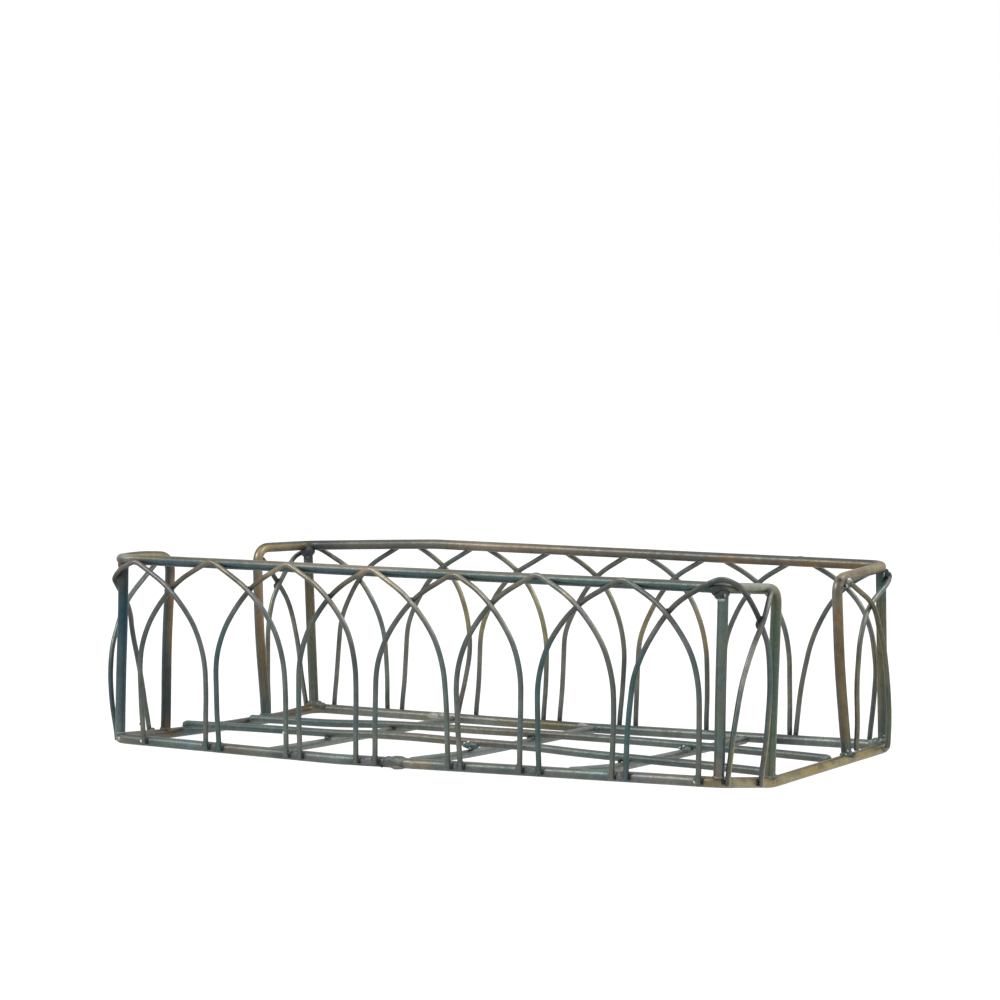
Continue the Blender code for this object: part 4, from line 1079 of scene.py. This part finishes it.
POST_SPECS = {
    "front_left": {"along": "z", "ragged": 1.5,
                   "face": [(0, "fog"), (4, "seaglass"), (9, "slate"), (20, "dusk"), (30, "dusk"), (38, "deep_teal"), (47, "deep_teal"), (51, "char"), (60, "char")],
                   "right": [(0, "verdigris"), (12, "dusk"), (26, "dusk"), (38, "deep_teal"), (47, "deep_teal"), (52, "char"), (60, "char")],
                   "left": [(0, "haze"), (8, "seaglass"), (14, "verdigris"), (26, "pine"), (36, "dusk"), (46, "teal"), (52, "char"), (60, "char")], "left_share": 0.7},
    "front_right": {"along": "z", "ragged": 2.5,
                    "face": [(0, "taupe"), (5, "plum"), (9, "ash"), (14, "verdigris"), (20, "sage"), (26, "sage"), (33, "seaglass"), (44, "sage"), (54, "seaglass"), (58, "pewter"), (60, "char")],
                    "right": [(0, "bronze"), (7, "ash"), (14, "verdigris"), (22, "moss"), (34, "sage"), (45, "moss"), (56, "seaglass")], "right_share": 0.6,
                    "left": [(0, "fawn"), (6, "rust"), (12, "verdigris"), (24, "sage"), (30, "seaglass"), (60, "seaglass")], "left_share": 0.6},
    "back_left": {"along": "z", "ragged": 2.5,
                  "face": [(0, "taupe"), (6, "ash"), (14, "moss"), (26, "moss"), (34, "bronze"), (46, "olive"), (52, "lead"), (60, "char")],
                  "right": [(0, "taupe"), (14, "moss"), (28, "ochre"), (38, "bronze"), (47, "bronze"), (53, "lead"), (60, "char")],
                  "left": [(0, "ash"), (28, "ash"), (38, "lead"), (50, "lead"), (60, "dusk")]},
    "back_right": {"along": "z", "ragged": 2.5,
                   "face": [(0, "fog"), (5, "pewter"), (12, "lead"), (22, "moss"), (30, "olive"), (38, "olive"), (46, "olive"), (53, "fern"), (57, "pine"), (60, "char")],
                   "right": [(0, "pine"), (14, "dusk"), (30, "lead"), (46, "moss"), (52, "pine"), (60, "char")],
                   "left": [(0, "mist"), (6, "pine"), (14, "ochre"), (24, "ochre"), (36, "olive"), (46, "olive"), (53, "fern"), (60, "char")], "left_share": 0.7},
}
for key, spec in POST_SPECS.items():
    wire("corner_post_" + key, post_tubes[key], spec, "post_wire")

CROSS_SPEC = {"along": "y", "ragged": 6.0, "face": [(-58, "haze"), (-44, "haze"), (-30, "steel"), (-8, "steel"), (10, "stone"), (25, "stone"), (45, "haze"), (58, "stone")],
              "top": [(-58, "tan"), (-46, "steel"), (-30, "steel"), (0, "steel"), (58, "stone")], "top_share": 0.6, "under": 0.25,
              "alt": [(-58, "fawn"), (-30, "stone"), (0, "sage"), (58, "ash")], "alt_share": 0.4}
LONG_SPEC = {"along": "x", "ragged": 8.0, "face": [(-116, "fog"), (-95, "seaglass"), (-75, "pine"), (-55, "ash"), (-20, "stone"), (0, "taupe"), (25, "ash"), (48, "fog"), (60, "verdigris"), (78, "pewter"), (96, "ash"), (116, "lead")],
             "top": [(-116, "haze"), (-75, "fog"), (-40, "ash"), (0, "fawn"), (40, "ash"), (60, "pewter"), (116, "lead")], "top_share": 0.7, "under": 0.2,
             "alt": [(-116, "seaglass"), (-60, "ash"), (0, "bronze"), (40, "ash"), (116, "taupe")], "alt_share": 0.4}
for word, tube in rod_tubes.items():
    wire(word, tube, CROSS_SPEC if word.startswith("cross") else LONG_SPEC, "floor_rod")

FRONT_ARCH = {"along": "z", "ragged": 4.0, "vary": 0.28,
              "face": [(0, "ash"), (8, "stone"), (13, "ash"), (22, "ash"), (36, "pewter"), (46, "ash"), (52, "lead"), (57, "lead"), (61, "fawn"), (64, "fawn")],
              "top": [(0, "ash"), (30, "ash"), (46, "stone"), (56, "stone"), (62, "tan"), (64, "tan")], "top_share": 0.7, "top_from": 0.1, "under": 0.3,
              "alt": [(0, "pine"), (16, "teal"), (34, "pine"), (46, "plum"), (62, "bronze")], "alt_share": 0.5,
              "right": [(0, "ash"), (30, "ash"), (60, "stone")], "right_share": 0.3}
BACK_ARCH = {"along": "z", "ragged": 4.0, "vary": 0.30,
             "face": [(0, "lead"), (4, "ash"), (12, "stone"), (20, "stone"), (30, "stone"), (46, "ash"), (56, "ash"), (62, "stone")],
             "top": [(0, "ash"), (40, "stone"), (60, "steel")], "top_share": 0.5, "top_from": 0.1, "under": 0.3,
             "alt": [(0, "lead"), (10, "ash"), (30, "ochre"), (46, "sage"), (52, "lead"), (62, "ash")], "alt_share": 0.4}
# painted highlight: a sheen on the outer side of some right legs; and tones of the front peaks
PAINTED_SHEEN = {"front_arch_1": 0.1, "front_arch_2": 0.2, "front_arch_3": 0.6, "front_arch_4": 0.85, "front_arch_5": 0.8, "front_arch_6": 0.65,
         "back_arch_1": 0.5, "back_arch_2": 0.75, "back_arch_3": 0.85, "back_arch_4": 0.6, "back_arch_5": 0.5, "back_arch_6": 0.5, "back_arch_7": 0.55, "back_arch_8": 0.3}
PEAK_X = {"%s_arch_%d" % (word, i): row[0] for word, table in (("front", FRONT_ARCHES), ("back", BACK_ARCHES)) for i, row in enumerate(table, 1)}
PEAKS = {1: ("plum", "plum"), 2: ("taupe", "fawn"), 3: ("bronze", "tan"), 4: ("fawn", "tan"), 5: ("taupe", "fawn"), 6: ("fawn", "stone"), 7: ("lead", "ash"), 8: ("char", "lead")}
GOLDEN = {"back_arch_2": 1, "back_arch_3": 1, "back_arch_4": -1, "back_arch_5": 1, "back_arch_6": -1}    # leg with a golden patch
END_FACES = {
    "end_arch_front_left": [(0, "pine"), (6, "pine"), (14, "dusk"), (24, "pine"), (31, "ash"), (39, "pine"), (48, "fog"), (58, "ash")],
    "end_arch_front_right": [(0, "lead"), (8, "moss"), (15, "fern"), (24, "ash"), (33, "pale"), (41, "pale"), (46, "ash"), (51, "char"), (58, "char")],
    "end_arch_back_left": [(0, "stone"), (10, "stone"), (30, "stone"), (44, "sage"), (50, "lead"), (58, "lead")],
    "end_arch_back_right": [(0, "olive"), (6, "moss"), (24, "moss"), (36, "olive"), (48, "olive"), (53, "ochre"), (58, "ochre")],
}
# the tilt of surface, up and to the right, that takes the painted sheen and highlights below
OUTER = 0.62 * RIGHT + 0.72 * UP
for name, tube in arch_tubes.items():
    spec = dict(FRONT_ARCH if "front" in name else BACK_ARCH)
    extra = []
    if name in END_FACES:
        spec["face"] = END_FACES[name]
        spec["alt_share"] = 0.15
    elif "front" in name:
        low, high = PEAKS[int(name[-1])]
        spec["face"] = FRONT_ARCH["face"][:-3] + [(57, low), (61, high), (64, high)]
        spec["top"] = [(0, "ash"), (30, "ash"), (46, "ash"), (56, low), (61, high), (64, high)]
    if name in ("front_arch_3", "front_arch_7", "front_arch_8"):
        extra.append(("teal", lambda tb: 0.6 * (tb.verts[:, 0] < tb.verts[:, 0].min() + 14) * step(46, 36, tb.z)))
    if name in GOLDEN:
        way = GOLDEN[name]
        extra.append(("gold", lambda tb, way=way: 0.75 * (way * (tb.verts[:, 0] - np.median(tb.verts[:, 0])) > 0)
                      * step(12, 4, np.abs(tb.z - 36))))
    # painted highlight: a pale sheen, straw on back arches 2 to 4, where the right leg faces OUTER high up
    if name in PAINTED_SHEEN:
        share, tone = 1.0 * PAINTED_SHEEN[name], "straw" if name in ("back_arch_2", "back_arch_3", "back_arch_4") else "pale"
        extra.append((tone, lambda tb, share=share, peak=PEAK_X[name]: share * step(-0.1, 0.65, tb.normals @ OUTER) * step(34, 46, tb.z)
                      * step(60, 55, tb.z) * (tb.verts[:, 0] > peak)))
    if name in ("front_arch_1", "front_arch_2", "front_arch_4", "front_arch_5", "back_arch_1"):
        extra.append(("haze", lambda tb, peak=PEAK_X[name]: 0.4 * (tb.verts[:, 0] > peak) * step(6, 10, tb.z) * step(44, 34, tb.z)))
    if name in ("front_arch_4", "front_arch_7"):
        extra.append(("char", lambda tb, peak=PEAK_X[name]: 0.3 * (tb.verts[:, 0] < peak - 4) * step(42, 48, tb.z)))
    if name in ("back_arch_4", "back_arch_5", "back_arch_7", "back_arch_8"):
        extra.append(("bronze" if name == "back_arch_8" else "lead", lambda tb, peak=PEAK_X[name]: 0.55 * (tb.verts[:, 0] > peak) * step(34, 24, tb.z)))
    # painted highlight and shade low on the right leg: a straw right side and a dark left side
    if name == "front_arch_8":
        extra.append(("straw", lambda tb: 0.85 * step(0.35, 0.8, tb.normals @ RIGHT) * step(26, 18, tb.z) * (tb.verts[:, 0] > 116)))
        extra.append(("char", lambda tb: 0.5 * step(0.2, 0.8, -(tb.normals @ RIGHT)) * step(40, 30, tb.z) * (tb.verts[:, 0] > 116)))
    # painted highlight and shade on the half arch: a straw right side and a dark left side low down, a dark left side
    # high up and a white line on its outer side
    if name == "end_arch_front_right":
        extra.append(("straw", lambda tb: 0.8 * step(0.35, 0.8, tb.normals @ RIGHT) * step(20, 12, tb.z)))
        extra.append(("char", lambda tb: 0.7 * step(0.0, 0.7, -(tb.normals @ RIGHT)) * step(22, 14, tb.z)))
        extra.append(("char", lambda tb: 0.6 * step(0.05, 0.6, -(tb.normals @ RIGHT)) * step(42, 50, tb.z)))
        extra.append(("white", lambda tb: 0.55 * step(0.45, 0.85, tb.normals @ OUTER) * step(22, 32, tb.z)))
    # painted highlight: a pale line along the top of the peak
    if name == "front_arch_8":
        extra.append(("pale", lambda tb: 0.55 * step(0.55, 0.9, tb.normals[:, 2]) * step(54, 58, tb.z)))
    if extra:
        spec["extra"] = extra
    wire(name, tube, spec, "arch_wire")

# ---------------------------------------------------------------- build all
col, soot = paint(ring_tube, ring_spec, 3)
slow = noise_at(ring_tube.verts, 8.0, 61)
fast = noise_at(ring_tube.verts, 2.0, 62)
# the top of the ring takes the RING_TOP tones, partly painted highlight; the right bar gets an umber top edge, olive
# patches and a tan underside
base = mix(RING_FACE(ring_tube), RING_TOP(ring_tube), 0.42 * step(0.2, 0.9, ring_tube.normals[:, 2] + 0.3 * slow))
on_right = step(END_X - 8, END_X - 1.5, ring_tube.verts[:, 0])
base = mix(base, np.tile(TONE["umber"], (len(base), 1)), 0.6 * on_right * step(0.72, 0.95, ring_tube.normals[:, 2]))
base = mix(base, np.tile(TONE["olive"], (len(base), 1)), 0.5 * on_right * step(-0.05, 0.3, noise_at(ring_tube.verts, 5.0, 65)) * step(-0.2, 0.3, ring_tube.normals[:, 2]))
base = mix(base, np.tile(TONE["tan"], (len(base), 1)), 0.45 * on_right * step(-0.2, -0.7, ring_tube.normals[:, 2]))
# painted shade: darker on the undersides, more so on the right bar, which is also a little darker overall
base = base * (1.04 - 0.15 * on_right - (0.10 + 0.04 * on_right) * step(0.1, 0.95, -ring_tube.normals[:, 2]))[:, None] * (1 + 0.12 * slow + 0.1 * fast)[:, None]
tint = noise_at(ring_tube.verts, 6.0, 63) + 0.5 * noise_at(ring_tube.verts, 2.6, 64)
base = base * (1 + 0.11 * tint[:, None] * np.array([1.0, 0.05, -0.9]))
for point, reach, tone, strength in TINT:
    d = np.linalg.norm(ring_tube.verts - np.asarray(point), axis=1)
    base = mix(base, np.tile(TONE[tone], (len(d), 1)), strength * step(1.0, 0.15, d / reach + 0.25 * fast))
base = mix(base, np.tile(TONE["soot"], (len(base), 1)), 0.92 * soot)
obj = make_mesh("base_ring_wire", ring_tube.verts, ring_tube.faces, base, soot, MATERIALS["ring_wire"])
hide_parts("base_ring")

for k, (node, tube, spec, slot) in enumerate(WIRES):
    col, soot = paint(tube, spec, 100 + 7 * k)
    obj = make_mesh(node + "_wire", tube.verts, tube.faces, col, soot, MATERIALS[slot])
    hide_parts(node)

for group, parts in WELDS.items():
    verts, faces, cols, soots, base_i = [], [], [], [], 0
    for v, f, c, s in parts:
        verts.append(v)
        faces += [tuple(i + base_i for i in q) for q in f]
        cols.append(c)
        soots.append(s)
        base_i += len(v)
    v = np.vstack(verts)
    v[:, 2] = np.maximum(v[:, 2], 0.02)
    make_mesh(group, v, faces, np.vstack(cols), np.concatenate(soots), MATERIALS["weld"])

# -------------------------------------------------------------------- stage
floor_mesh = bpy.data.meshes.new("floor")
floor_mesh.from_pydata([(-12, -12, 0), (12, -12, 0), (12, 12, 0), (-12, 12, 0)], [], [(0, 1, 2, 3)])
floor = bpy.data.objects.new("floor", floor_mesh)
bpy.context.scene.collection.objects.link(floor)
paper = bpy.data.materials.new("paper")
paper.use_nodes = True
pb = paper.node_tree.nodes["Principled BSDF"]
pb.inputs["Base Color"].default_value = (0.13, 0.13, 0.13, 1)
pb.inputs["Emission Color"].default_value = (1.0, 1.0, 1.0, 1)
pb.inputs["Emission Strength"].default_value = 0.92
pb.inputs["Roughness"].default_value = 0.9
pb.inputs["Specular IOR Level"].default_value = 0.1
floor_mesh.materials.append(paper)

world = bpy.data.worlds.new("studio")
world.use_nodes = True
world.node_tree.nodes["Background"].inputs["Color"].default_value = (1.0, 1.0, 1.0, 1)
world.node_tree.nodes["Background"].inputs["Strength"].default_value = 1.0
bpy.context.scene.world = world
bpy.context.scene.view_settings.view_transform = "Standard"


def softbox(name, where, aim, size, power):
    light = bpy.data.lights.new(name, "AREA")
    light.shape = "RECTANGLE"
    light.size, light.size_y = size
    light.energy = power
    obj = bpy.data.objects.new(name, light)
    obj.location = where
    obj.rotation_mode = "QUATERNION"
    obj.rotation_quaternion = (Vector(aim) - Vector(where)).to_track_quat("-Z", "Y")
    bpy.context.scene.collection.objects.link(obj)
    return obj


softbox("top_light", (0.1, -0.1, 1.3), (0, 0, 0.03), (1.1, 0.8), 4.0)
softbox("side_light", (0.75, 0.40, 0.98), (0, 0, 0.03), (0.7, 0.5), 5.0)
softbox("key_light", (-0.5, -1.05, 0.95), (0, 0, 0.03), (0.75, 0.35), 12.0)

# ------------------------------------------------------------------- camera
YAW, PITCH, DIST, LENS = 0.5613, 0.0552, 1.184658, 129.48
TARGET = Vector((0.000786, 0.0, 0.084197))
back = Vector((sin(YAW) * cos(PITCH), -cos(YAW) * cos(PITCH), sin(PITCH)))
right = Vector((cos(YAW), sin(YAW), 0.0))
up = back.cross(right)
cam_data = bpy.data.cameras.new("camera")
cam_data.lens, cam_data.sensor_width = LENS, 36.0
cam_data.clip_start, cam_data.clip_end = 0.01, 100.0
cam = bpy.data.objects.new("camera", cam_data)
cam.matrix_world = Matrix.Translation(TARGET + back * DIST) @ Matrix((right, up, back)).transposed().to_4x4()
bpy.context.scene.collection.objects.link(cam)
bpy.context.scene.camera = cam
